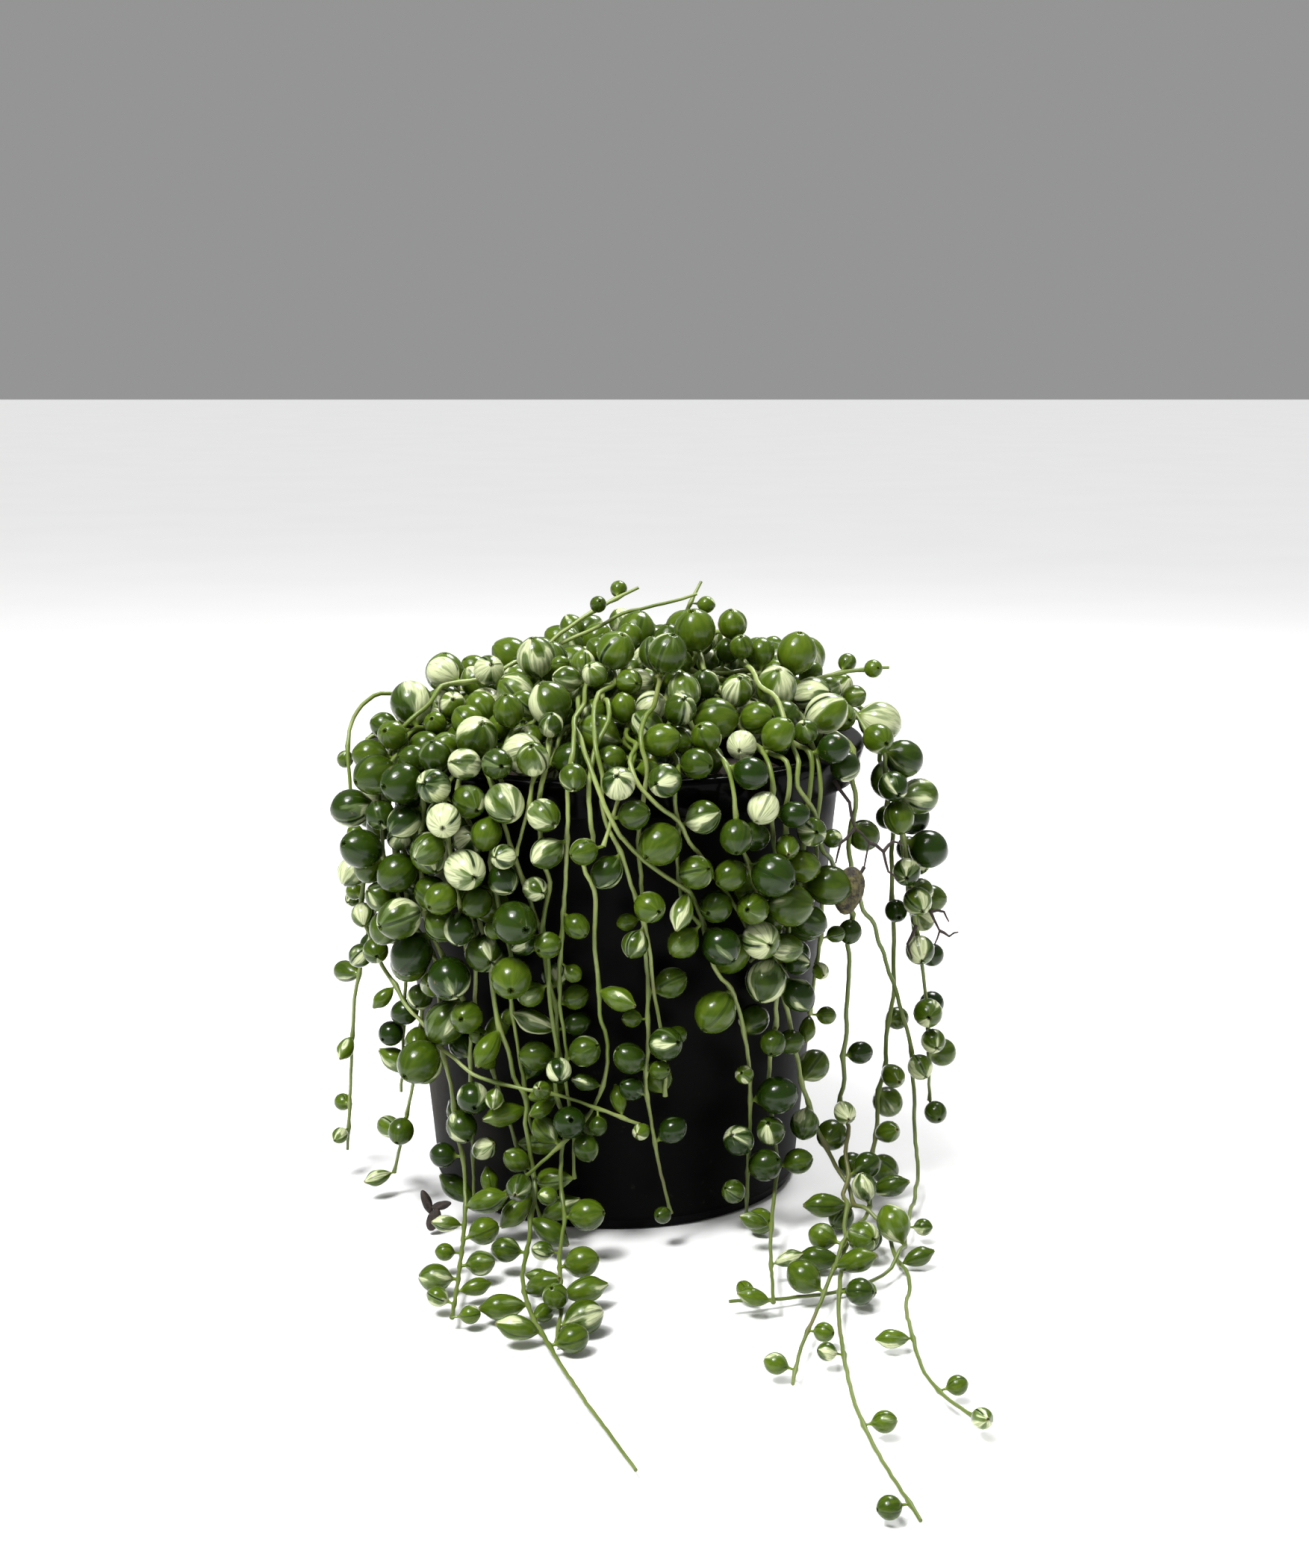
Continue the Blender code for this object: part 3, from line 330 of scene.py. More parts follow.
def back_strands(rng):
    """Strands down the back of the pot; the longest turn outward along the surface below."""
    made = {}
    for i in range(BACK_COUNT):
        deg = BACK_FROM + i * BACK_SPAN / (BACK_COUNT - 1) + rng.uniform(-3, 3)
        drop = rng.uniform(*BACK_DROP)
        drift = rng.uniform(*BACK_DRIFT)
        bottom = POT_HEIGHT - drop
        route = [
            (deg + rng.uniform(-50, 50), rng.uniform(8, 22)),
            (deg + rng.uniform(-12, 12), 38),
            (deg, 59, 104),
            (deg + drift * 0.3, 59, 90),
        ]
        if bottom < 14:
            route += [
                (deg + drift * 0.7, 55, 45),
                (deg + drift, 52, 14),
                (deg + drift * 1.3, 60, 4),
                (deg + drift * 1.8, 68 + rng.uniform(0, 14), 4),
            ]
        else:
            route += [(deg + drift * 0.7, 57, (90 + bottom) / 2), (deg + drift, 54, bottom)]
        count = int(drop / NODE_SPACING)
        kinds = ["POP.PB"] * (count // 2) + ["BDP.b.D"] * (count // 3)
        kinds += ["D.db.B."] * (count - len(kinds))
        made[f"back_{i + 1:02d}"] = ("".join(rng.choice(kind) for kind in kinds), route)
    return made


def crown_strands(rng):
    """Short strands that wind outward over the soil and stay inside the rim."""
    made = {}
    for i in range(CROWN_COUNT):
        start = i * 360 / CROWN_COUNT + 25 + rng.uniform(-12, 12)
        sweep = rng.choice((-1, 1)) * rng.uniform(*CROWN_SWEEP)
        inner = rng.uniform(*CROWN_START)
        outer = rng.uniform(*CROWN_END)
        route = []
        for k in range(5):
            t = k / 4
            route.append((start + sweep * t, inner + (outer - inner) * t))
        made[f"crown_{i + 1:02d}"] = ("", route)
    return made


def leaf_nodes(nodes, text, bare, rng):
    """Which node carries which leaf: the crown's by rule, the hanging ones from the text."""
    reach = np.sqrt(nodes[:, 0] ** 2 + nodes[:, 1] ** 2)
    over_rim = np.where((reach > RIM_REACH) & (nodes[:, 2] < RIM_CREST))[0]
    lip = over_rim[0] if len(over_rim) else len(nodes)
    if text and not len(over_rim):
        lip = 0
    picks = []
    for i in range(ROOTED_NODES, lip):
        in_gap = nodes[i, 0] < LEFT_GAP[0] and nodes[i, 1] > LEFT_GAP[1]
        if i % 4 and not in_gap and not (bare and i % 9 > 1):
            picks.append((i, rng.choice(CROWN_LEAVES)))
    hanging = len(nodes) - 1 - lip
    for i, kind in enumerate(text):
        if kind in LEAF_RADIUS:
            node = lip + int(round((i + 0.5) / len(text) * hanging))
            picks.append((min(len(nodes) - 1, node), kind))
    return picks


def leaf_direction(nodes, i, side, rng):
    """Where a leaf leans from its node: to one side, and outward, upward or down."""
    here = nodes[i]
    along = unit(nodes[min(len(nodes) - 1, i + 1)] - nodes[max(0, i - 1)])
    reach = math.hypot(here[0], here[1])
    sag = 0.0
    if here[2] < LYING_BAND and reach > BASE_RADIUS + LYING_BAND:
        out = np.array([0, 0, 1.0])
        lean = rng.uniform(*LYING_LEAN)
    elif reach < RIM_REACH - 1:
        out = unit(np.array([here[0] * 0.5, here[1] * 0.5, 34.0]))
        lean = rng.uniform(*LEAN)
    else:
        out = unit(np.array([here[0], here[1], 0.0]))
        lean = rng.uniform(*LEAN)
        sag = rng.uniform(*SAG)
    across = unit(np.cross(along, out)) * side
    return unit(across + out * lean - np.array([0, 0, sag]) + along * rng.uniform(*FORWARD))


def grow_strands():
    """Every strand with its stem nodes and leaves, in millimetres, clear of one another."""
    rng = random.Random(SEED)
    plan = {**FRONT_STRANDS, **back_strands(rng), **crown_strands(rng)}
    strands = []
    for name, (text, route) in plan.items():
        bare = name in BARE_OVER_CROWN
        points = [route_point(point, BARE_LIFT if bare else 0.0) for point in route]
        points.insert(0, (points[0][0] * 0.9, points[0][1] * 0.9, ROOT_HEIGHT))
        nodes = smooth_route(points)
        side = rng.choice((-1, 1))
        leaves = []
        for node, kind in leaf_nodes(nodes, text, bare, rng):
            side = -side
            toward = leaf_direction(nodes, node, side, rng)
            radius = LEAF_RADIUS[kind] * rng.uniform(1 - SIZE_SPREAD, 1 + SIZE_SPREAD)
            leaves.append({"node": node, "kind": kind, "radius": radius, "toward": toward})
        strands.append({"name": name, "nodes": nodes, "leaves": leaves})
    Tangle(strands).settle()
    return strands


def nearest_on_segments(p1, q1, p2, q2):
    """For pairs of segments, how far along each one the two come closest, from 0 to 1."""
    d1, d2, r = q1 - p1, q2 - p2, p1 - p2
    a = (d1 * d1).sum(1) + 1e-12
    e = (d2 * d2).sum(1) + 1e-12
    b, c, f = (d1 * d2).sum(1), (d1 * r).sum(1), (d2 * r).sum(1)
    den = a * e - b * b
    safe = np.where(den > 1e-9, den, 1)
    s = np.where(den > 1e-9, np.clip((b * f - c * e) / safe, 0, 1), 0.5)
    t = (b * s + f) / e
    clipped = np.clip(t, 0, 1)
    s = np.where(t != clipped, np.clip((b * clipped - c) / a, 0, 1), s)
    return s, clipped


def push_off_pot(points, radius):
    """How far spheres must move to clear the wall, the soil, the rim and the surface below."""
    rho = np.sqrt(points[:, 0] ** 2 + points[:, 1] ** 2) + 1e-9
    z = points[:, 2]
    wall = BASE_RADIUS + (WALL_TOP_RADIUS - BASE_RADIUS) * np.clip(z, 0, WALL_TOP) / WALL_TOP
    beside, above = rho - wall, z - SOIL_TOP
    near = np.maximum(beside, above) < radius
    out = np.where(near & (beside >= above), radius - beside, 0.0)
    up = np.where(near & (beside < above), radius - above, 0.0)
    # the rim is a square ring
    half_r, half_z = (RIM_RADIUS - MOUTH_RADIUS) / 2, COLLAR_HEIGHT / 2
    from_r = rho + out - (RIM_RADIUS + MOUTH_RADIUS) / 2
    from_z = z + up - (POT_HEIGHT - half_z)
    over_r, over_z = np.abs(from_r) - half_r, np.abs(from_z) - half_z
    outside = np.sqrt(np.maximum(over_r, 0) ** 2 + np.maximum(over_z, 0) ** 2)
    depth = radius - outside - np.minimum(np.maximum(over_r, over_z), 0)
    free = outside > 1e-6
    way_r = np.where(free, np.maximum(over_r, 0), over_r > over_z) * np.sign(from_r)
    way_z = np.where(free, np.maximum(over_z, 0), over_z >= over_r) * np.sign(from_z)
    scale = np.where(depth > 0, depth, 0) / (np.sqrt(way_r ** 2 + way_z ** 2) + 1e-9)
    out += scale * way_r
    up += scale * way_z
    up = np.where(z + up < radius, radius - z, up)
    return np.stack([out * points[:, 0] / rho, out * points[:, 1] / rho, up], 1)


class Tangle:
    """All the stem nodes and leaves, pushed apart in turns until nothing touches."""

    def __init__(self, strands):
        self.strands = strands
        starts = [0]
        for strand in strands:
            starts.append(starts[-1] + len(strand["nodes"]))
        self.starts = starts
        self.nodes = np.concatenate([strand["nodes"] for strand in strands])
        self.home = self.nodes.copy()
        self.count = len(self.nodes)
        self.owner = np.concatenate(
            [np.full(len(strand["nodes"]), i) for i, strand in enumerate(strands)])
        self.free = np.ones((self.count, 3))
        self.free[starts[:-1], 2] = 0.0
        self.a = np.where(self.owner[:-1] == self.owner[1:])[0]
        self.b = self.a + 1
        self.rest = lengths(self.nodes[self.b] - self.nodes[self.a])
        middle = np.arange(1, self.count - 1)
        same = (self.owner[middle - 1] == self.owner[middle + 1])
        self.middle = middle[same]
        pairs = [(i, leaf) for i, strand in enumerate(strands) for leaf in strand["leaves"]]
        self.leaves = [leaf for i, leaf in pairs]
        self.stalk = np.array([starts[i] + leaf["node"] for i, leaf in pairs])
        self.radius = np.array([leaf["radius"] for leaf in self.leaves])
        self.toward = np.array([leaf["toward"] for leaf in self.leaves])
        self.place_leaves()

    def place_leaves(self):
        """Puts each leaf a stalk's length from its node."""
        self.reach = self.radius + PETIOLE
        self.centres = self.nodes[self.stalk] + self.toward * self.reach[:, None]

    def gather(self, index, vectors, count):
        """Adds up the vectors that share an index."""
        return np.stack([np.bincount(index, vectors[:, k], count) for k in range(3)], 1)

    def find_neighbours(self):
        """Lists the pairs of leaves and stems that are close enough to meet."""
        a, b = self.a, self.b
        centres, radius = self.centres, self.radius
        mid = (self.nodes[a] + self.nodes[b]) / 2
        i, j = np.triu_indices(len(centres), 1)
        near = ((centres[i] - centres[j]) ** 2).sum(1) < (radius[i] + radius[j] + 5) ** 2
        self.leaf_pairs = (i[near], j[near])
        gap = ((centres[:, None] - mid[None]) ** 2).sum(2)
        i, j = np.where(gap < (radius[:, None] + self.rest[None] / 2 + 5) ** 2)
        apart = (self.stalk[i] != a[j]) & (self.stalk[i] != b[j])
        self.leaf_stems = (i[apart], j[apart])
        gap = ((mid[:, None] - mid[None]) ** 2).sum(2)
        i, j = np.where(np.triu(gap < (NODE_SPACING + 5) ** 2, 1))
        apart = (self.owner[a[i]] != self.owner[a[j]]) | (np.abs(a[i] - a[j]) > 2)
        self.stem_pairs = (i[apart], j[apart])

    def leaf_to_stem(self):
        """Each near stem segment's closest point to its leaf, and how deep the two overlap."""
        i, j = self.leaf_stems
        start = self.nodes[self.a[j]]
        run = self.nodes[self.b[j]] - start
        t = ((self.centres[i] - start) * run).sum(1) / np.maximum((run * run).sum(1), 1e-9)
        t = np.clip(t, 0, 1)
        away = self.centres[i] - start - run * t[:, None]
        return t, away, self.radius[i] + STEM_RADIUS - lengths(away)

    def hold_shape(self, ease):
        """Draws stems to their routes, keeps their length and keeps leaves on their stalks."""
        nodes, free, middle = self.nodes, self.free, self.middle
        nodes += free * (self.home - nodes) * (HOME_PULL * ease)
        bend = (nodes[middle - 1] + nodes[middle + 1]) / 2 - nodes[middle]
        nodes[middle] += free[middle] * bend * (STIFFNESS * ease)
        for odd in (0, 1):
            some = self.a % 2 == odd
            a, b = self.a[some], self.b[some]
            run = nodes[b] - nodes[a]
            size = lengths(run)
            fix = run * ((size - self.rest[some]) / np.maximum(size, 1e-9))[:, None] * 0.5
            nodes[a] += fix * free[a]
            nodes[b] -= fix * free[b]
        wanted = nodes[self.stalk] + self.toward * self.reach[:, None]
        self.centres += (wanted - self.centres) * (LEAF_PULL * ease)
        arm = self.centres - nodes[self.stalk]
        size = lengths(arm)
        fix = arm * ((size - self.reach) / np.maximum(size, 1e-9))[:, None]
        self.centres -= fix * LEAF_SHARE
        nodes += self.gather(self.stalk, fix * (1 - LEAF_SHARE), self.count) * free

    def push_apart(self):
        """Moves overlapping leaves and stems half way out of each other."""
        a, b, nodes, total = self.a, self.b, self.nodes, len(self.centres)
        leaf_move, leaf_hits = np.zeros_like(self.centres), np.zeros(total)
        node_move, node_hits = np.zeros_like(nodes), np.zeros(self.count)

        i, j = self.leaf_pairs
        away = self.centres[j] - self.centres[i]
        size = lengths(away) + 1e-9
        deep = self.radius[i] + self.radius[j] + CLEARANCE - size
        hit = deep > 0
        i, j = i[hit], j[hit]
        push = away[hit] * (deep[hit] / size[hit] * 0.5)[:, None]
        leaf_move += self.gather(j, push, total) - self.gather(i, push, total)
        leaf_hits += np.bincount(i, minlength=total) + np.bincount(j, minlength=total)

        t, away, deep = self.leaf_to_stem()
        hit = deep + CLEARANCE > 0
        i, j = self.leaf_stems[0][hit], self.leaf_stems[1][hit]
        t = t[hit]
        size = lengths(away[hit]) + 1e-9
        push = away[hit] * ((deep[hit] + CLEARANCE) / size * 0.5)[:, None]
        leaf_move += self.gather(i, push, total)
        leaf_hits += np.bincount(i, minlength=total)
        node_move -= self.gather(a[j], push * (1 - t)[:, None], self.count)
        node_move -= self.gather(b[j], push * t[:, None], self.count)
        node_hits += np.bincount(a[j], 1 - t, self.count) + np.bincount(b[j], t, self.count)

        i, j = self.stem_pairs
        s, t = nearest_on_segments(nodes[a[i]], nodes[b[i]], nodes[a[j]], nodes[b[j]])
        first = nodes[a[i]] * (1 - s)[:, None] + nodes[b[i]] * s[:, None]
        second = nodes[a[j]] * (1 - t)[:, None] + nodes[b[j]] * t[:, None]
        away = second - first
        size = lengths(away) + 1e-9
        deep = 2 * STEM_RADIUS + CLEARANCE - size
        hit = deep > 0
        i, j, s, t = i[hit], j[hit], s[hit][:, None], t[hit][:, None]
        push = away[hit] * (deep[hit] / size[hit] * 0.5)[:, None]
        node_move += self.gather(a[j], push * (1 - t), self.count)
        node_move += self.gather(b[j], push * t, self.count)
        node_move -= self.gather(a[i], push * (1 - s), self.count)
        node_move -= self.gather(b[i], push * s, self.count)
        for ends in (a[i], b[i], a[j], b[j]):
            node_hits += np.bincount(ends, minlength=self.count)

        self.centres += leaf_move / np.maximum(1, leaf_hits * 0.5)[:, None]
        nodes += node_move / np.maximum(1, node_hits * 0.5)[:, None] * self.free

    def clear_pot(self):
        """Moves leaves, nodes and points between nodes out of the pot, soil and surface."""
        nodes, free = self.nodes, self.free
        margin = STEM_RADIUS + CLEARANCE
        self.centres += push_off_pot(self.centres, self.radius + CLEARANCE * 0.7)
        nodes += push_off_pot(nodes, np.full(self.count, margin)) * free
        for t in (0.25, 0.5, 0.75):
            between = nodes[self.a] * (1 - t) + nodes[self.b] * t
            push = push_off_pot(between, np.full(len(between), margin))
            moves = self.gather(self.a, push * (1 - t), self.count)
            nodes += (moves + self.gather(self.b, push * t, self.count)) * free

    def drop_crowded(self):
        """Leaves off the few leaves that found no room."""
        crowd = np.zeros(len(self.centres))
        i, j = self.leaf_pairs
        deep = self.radius[i] + self.radius[j] - lengths(self.centres[j] - self.centres[i])
        np.maximum.at(crowd, i, deep)
        np.maximum.at(crowd, self.leaf_stems[0], self.leaf_to_stem()[2])
        stay = crowd < CROWDED
        self.leaves = [leaf for leaf, kept in zip(self.leaves, stay) if kept]
        self.centres, self.stalk = self.centres[stay], self.stalk[stay]
        self.radius, self.toward = self.radius[stay], self.toward[stay]
        self.reach = self.reach[stay]
        self.find_neighbours()

    def settle(self):
        """Takes all the turns, the last ones with a weak pull, and hands out the places."""
        for turn in range(ROUNDS):
            if turn == THIN_ROUND:
                self.drop_crowded()
            elif turn % 12 == 0:
                self.find_neighbours()
            self.hold_shape(REST_EASE if turn >= ROUNDS - REST_ROUNDS else 1.0)
            self.push_apart()
            self.clear_pot()
            self.nodes = np.round(self.nodes, 6)
            self.centres = np.round(self.centres, 6)
        for leaf, centre in zip(self.leaves, self.centres):
            leaf["centre"] = centre
        for i, strand in enumerate(self.strands):
            strand["nodes"] = self.nodes[self.starts[i]:self.starts[i + 1]]
            strand["leaves"] = [leaf for leaf in strand["leaves"] if "centre" in leaf]


# ---------------------------------------------------------------- modelling helpers


def deselect_all():
    if bpy.context.object and bpy.context.object.mode != "OBJECT":
        bpy.ops.object.mode_set(mode="OBJECT")
    bpy.ops.object.select_all(action="DESELECT")


def make_active(obj):
    deselect_all()
    obj.select_set(True)
    bpy.context.view_layer.objects.active = obj


def edit(obj):
    """Opens a piece in edit mode with nothing selected."""
    make_active(obj)
    bpy.ops.object.mode_set(mode="EDIT")
    bpy.ops.mesh.select_all(action="DESELECT")


def close_edit():
    """Turns every face outwards and leaves edit mode."""
    bpy.ops.mesh.select_all(action="SELECT")
    bpy.ops.mesh.normals_make_consistent(inside=False)
    bpy.ops.object.mode_set(mode="OBJECT")


def select_vertices(obj, wanted):
    """Selects the vertices that a test picks, and the edges and faces between them."""
    bm = bmesh.from_edit_mesh(obj.data)
    bpy.ops.mesh.select_mode(type="VERT")
    for vert in bm.verts:
        vert.select_set(bool(wanted(vert.co)))
    bm.select_flush(True)
    bmesh.update_edit_mesh(obj.data)


def own_copy(prototype):
    """A copy with its own mesh."""
    copy = prototype.copy()
    copy.data = prototype.data.copy()
    bpy.context.collection.objects.link(copy)
    return copy


def apply_modifier(obj, kind, **settings):
    make_active(obj)
    modifier = obj.modifiers.new(kind.title(), kind)
    for key, value in settings.items():
        setattr(modifier, key, value)
    bpy.ops.object.modifier_apply(modifier=modifier.name)


def join(pieces, name):
    """Joins the pieces into one object that sits at the origin."""
    deselect_all()
    for piece in pieces:
        piece.select_set(True)
    bpy.context.view_layer.objects.active = pieces[0]
    if len(pieces) > 1:
        bpy.ops.object.join()
    joined = bpy.context.view_layer.objects.active
    bpy.ops.object.transform_apply(location=True, rotation=True, scale=True)
    joined.name = name
    joined.data.name = name
    return joined


def finish_piece(obj, material, slot, *nodes):
    """Gives a piece its material and ties it to the solid model."""
    obj.data.materials.clear()
    obj.data.materials.append(material)
    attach(obj, "root")
    if nodes:
        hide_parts(*nodes)


def turned(name, rings, sides):
    """A closed turned shape: a circle extruded through rings of (radius, height)."""
    deselect_all()
    radius, height = rings[0]
    bpy.ops.mesh.primitive_circle_add(
        vertices=sides, radius=radius * MM, location=(0, 0, height * MM))
    obj = bpy.context.object
    obj.name = name
    bpy.ops.object.transform_apply(location=True, rotation=True, scale=True)
    bpy.ops.object.mode_set(mode="EDIT")
    bpy.ops.mesh.select_all(action="SELECT")
    for (r0, z0), (r1, z1) in zip(rings[:-1], rings[1:]):
        bpy.ops.mesh.extrude_region_move(
            TRANSFORM_OT_translate={"value": (0, 0, (z1 - z0) * MM)})
        bpy.ops.transform.resize(
            value=(r1 / r0, r1 / r0, 1), center_override=(0, 0, z1 * MM))
    bpy.ops.mesh.edge_face_add()
    select_vertices(obj, lambda co: on_ring(co, rings[0]))
    bpy.ops.mesh.edge_face_add()
    close_edit()
    return obj


def on_ring(co, ring):
    radius, height = ring
    near = 1e-5
    return abs(math.hypot(co.x, co.y) - radius * MM) < near and abs(co.z - height * MM) < near


def arc(centre_r, centre_z, radius, start, end, count):
    """Points of an arc in a turned outline, angles in degrees from straight out."""
    points = []
    for i in range(count):
        angle = math.radians(start + (end - start) * i / (count - 1))
        points.append((centre_r + radius * math.cos(angle), centre_z + radius * math.sin(angle)))
    return points


def wall_radius(z):
    """Outer radius of the tapered wall at a height."""
    return BASE_RADIUS + (WALL_TOP_RADIUS - BASE_RADIUS) * min(z, WALL_TOP) / WALL_TOP


# ---------------------------------------------------------------- materials


class Nodes:
    """Shorthand for building a material's nodes."""

    def __init__(self, name):
        self.material = bpy.data.materials.new(name)
        self.material.use_nodes = True
        self.tree = self.material.node_tree
        self.shader = self.tree.nodes["Principled BSDF"]

    def colour(self, base):
        self.link(base, self.shader.inputs["Base Color"])

    def add(self, kind, **settings):
        node = self.tree.nodes.new(kind)
        for key, value in settings.items():
            setattr(node, key, value)
        return node

    def link(self, source, target):
        self.tree.links.new(source, target)

    def set(self, **values):
        for key, value in values.items():
            self.shader.inputs[key.replace("_", " ")].default_value = value

    def put(self, node, socket, value):
        if isinstance(value, bpy.types.NodeSocket):
            self.link(value, node.inputs[socket])
        else:
            node.inputs[socket].default_value = value

    def math(self, operation, first, second=0.0, clamp=False):
        node = self.add("ShaderNodeMath", operation=operation, use_clamp=clamp)
        self.put(node, 0, first)
        self.put(node, 1, second)
        return node.outputs[0]

    def times(self, first, second):
        return self.math("MULTIPLY", first, second)

    def plus(self, first, second):
        return self.math("ADD", first, second)

    def minus(self, first, second):
        return self.math("SUBTRACT", first, second)

    def step(self, value, low, high):
        """0 below low, 1 above high, smooth between."""
        node = self.add("ShaderNodeMapRange", interpolation_type="SMOOTHSTEP")
        self.put(node, "Value", value)
        self.put(node, "From Min", low)
        self.put(node, "From Max", high)
        return node.outputs["Result"]

    def mix(self, amount, first, second):
        node = self.add("ShaderNodeMix", data_type="RGBA")
        self.put(node, 0, amount)
        self.put(node, 6, as_colour(first))
        self.put(node, 7, as_colour(second))
        return node.outputs[2]

    def noise(self, vector, scale, detail, roughness):
        node = self.add("ShaderNodeTexNoise")
        self.link(vector, node.inputs["Vector"])
        node.inputs["Scale"].default_value = scale
        node.inputs["Detail"].default_value = detail
        node.inputs["Roughness"].default_value = roughness
        return node.outputs["Fac"]

    def combine(self, x, y, z):
        node = self.add("ShaderNodeCombineXYZ")
        for socket, value in enumerate((x, y, z)):
            self.put(node, socket, value)
        return node.outputs[0]

    def separate(self, vector):
        node = self.add("ShaderNodeSeparateXYZ")
        self.link(vector, node.inputs[0])
        return node.outputs[0], node.outputs[1], node.outputs[2]

    def attribute(self, name):
        return self.add("ShaderNodeAttribute", attribute_name=name).outputs["Vector"]

    def object_place(self):
        return self.add("ShaderNodeTexCoord").outputs["Object"]

    def bump(self, height, distance, strength):
        node = self.add("ShaderNodeBump")
        node.inputs["Strength"].default_value = strength
        node.inputs["Distance"].default_value = distance
        self.link(height, node.inputs["Height"])
        self.link(node.outputs[0], self.shader.inputs["Normal"])


def as_colour(value):
    """Leaves a socket as it is and makes a colour opaque."""
    if isinstance(value, bpy.types.NodeSocket):
        return value
    return (*value[:3], 1.0)


def leaf_sectors(n, place, seed, cream):
    """Sectors from stalk to tip: fine streaks, patches, and where it is creamy or greyish."""
    x, y, z = place
    angle = n.math("ARCTAN2", y, x)
    east, north = n.math("COSINE", angle), n.math("SINE", angle)
    offset = n.times(seed, 40.0)
    around = n.combine(east, north, n.plus(offset, n.times(z, 0.55)))
    fine_place = n.combine(n.times(east, 6.0), n.times(north, 6.0), n.plus(offset, n.times(z, 0.9)))
    girth = n.math("SQRT", n.plus(n.math("POWER", x, 2.0), n.math("POWER", y, 2.0)))
    fine = n.minus(n.noise(fine_place, 1.0, 2.5, 0.6), 0.5)
    streaks = n.plus(n.times(fine, n.step(girth, 0.12, 0.55)), 0.5)
    edge = n.times(n.minus(streaks, 0.5), 0.11)
    level = n.minus(0.78, n.times(cream, 0.50))
    field = n.minus(n.plus(n.noise(around, 0.75, 1.6, 0.5), edge), level)
    patches = n.noise(around, 2.6, 1.0, 0.5)
    return streaks, patches, n.step(field, -0.008, 0.030), n.step(field, -0.070, -0.020)


def leaf_window(n, place, seed, cream):
    """The dark stripe on the side to the light, its pale halo and how strong both are."""
    x, y, z = place
    across = n.math("ABSOLUTE", y)
    length = n.times(n.step(z, -0.92, -0.75), n.step(z, 1.02, 0.80))
    lane = n.times(n.step(x, 0.0, 0.25), length)
    marked = n.times(n.step(cream, 0.12, 0.50), n.step(seed, 0.25, 0.60))
    halo = n.times(n.step(across, 0.24, 0.12), lane)
    window = n.times(n.step(across, 0.095, 0.055), lane)
    return window, halo, marked


def leaf_material(look):
    """Glossy flesh: green with cream sectors, and a dark window stripe from stalk to tip.

    Each leaf carries its own unit shape as leaf_place and three numbers as leaf_look: a seed,
    how much of it is cream and how old it is.
    """
    n = Nodes("variegated_leaf")
    place = n.separate(n.attribute("leaf_place"))
    seed, cream, age = n.separate(n.attribute("leaf_look"))
    streaks, patches, creamy, greyish = leaf_sectors(n, place, seed, cream)
    window, halo, marked = leaf_window(n, place, seed, cream)

    green = n.mix(n.step(age, 0.0, 1.0), look.young_green, look.old_green)
    lively = n.times(n.step(age, 1.0, 0.2), 0.5)
    green = n.mix(n.times(n.step(patches, 0.35, 0.7), lively), green, look.bright_green)
    green = n.mix(n.times(n.step(streaks, 0.50, 0.72), 0.22), green, look.old_green)
    pale = n.mix(n.times(n.step(streaks, 0.42, 0.66), 0.7), look.cream, look.silver_green)
    base = n.mix(n.times(greyish, 0.55), green, look.silver_green)
    base = n.mix(creamy, base, pale)
    base = n.mix(n.times(halo, n.times(marked, 0.55)), base, look.silver_green)
    base = n.mix(n.times(window, n.plus(n.times(marked, 0.45), 0.5)), base, look.window)

    z = place[2]
    base = n.mix(n.times(n.step(z, 1.06, 1.20), 0.5), base, look.dry_tip)
    base = n.mix(n.step(z, -0.88, -1.10), base, look.stalk)
    blotch = n.noise(n.object_place(), 420.0, 3.0, 0.6)
    worn = n.times(n.step(blotch, 0.66, 0.74), n.step(age, 0.55, 1.0))
    n.colour(n.mix(n.times(worn, 0.6), base, look.scar))

    rough = n.plus(n.times(streaks, 0.16), look.gloss)
    n.link(rough, n.shader.inputs["Roughness"])
    n.set(Specular_IOR_Level=0.28, IOR=1.42, Coat_Weight=0.20, Coat_Roughness=0.07)
    n.set(Subsurface_Weight=0.06, Subsurface_Scale=0.0010, Subsurface_Radius=(0.9, 1.0, 0.35))
    n.bump(n.minus(n.times(streaks, 0.5), n.times(window, 0.4)), 0.00012, 0.6)
    return n.material


def stem_material(look):
    """Satin stem: pale green with brownish old stretches and fine lengthwise streaks."""
    n = Nodes("stem_skin")
    place = n.object_place()
    along = n.noise(place, 45.0, 2.0, 0.5)
    fine = n.noise(place, 900.0, 2.0, 0.5)
    base = n.mix(n.step(along, 0.40, 0.62), look.stem_green, look.stem_pale)
    base = n.mix(n.times(n.step(fine, 0.5, 0.75), 0.35), base, look.stem_green)
    height = n.separate(place)[2]
    base = n.mix(n.times(n.step(height, 0.040, 0.004), 0.75), base, look.stem_olive)
    woody = n.noise(place, 28.0, 3.0, 0.6)
    base = n.mix(n.times(n.step(woody, 0.60, 0.70), 0.6), base, look.stem_brown)
    n.colour(base)
    n.set(Roughness=0.42, Subsurface_Weight=0.08, Subsurface_Scale=0.0008)
    n.bump(fine, 0.0001, 0.7)
    return n.material


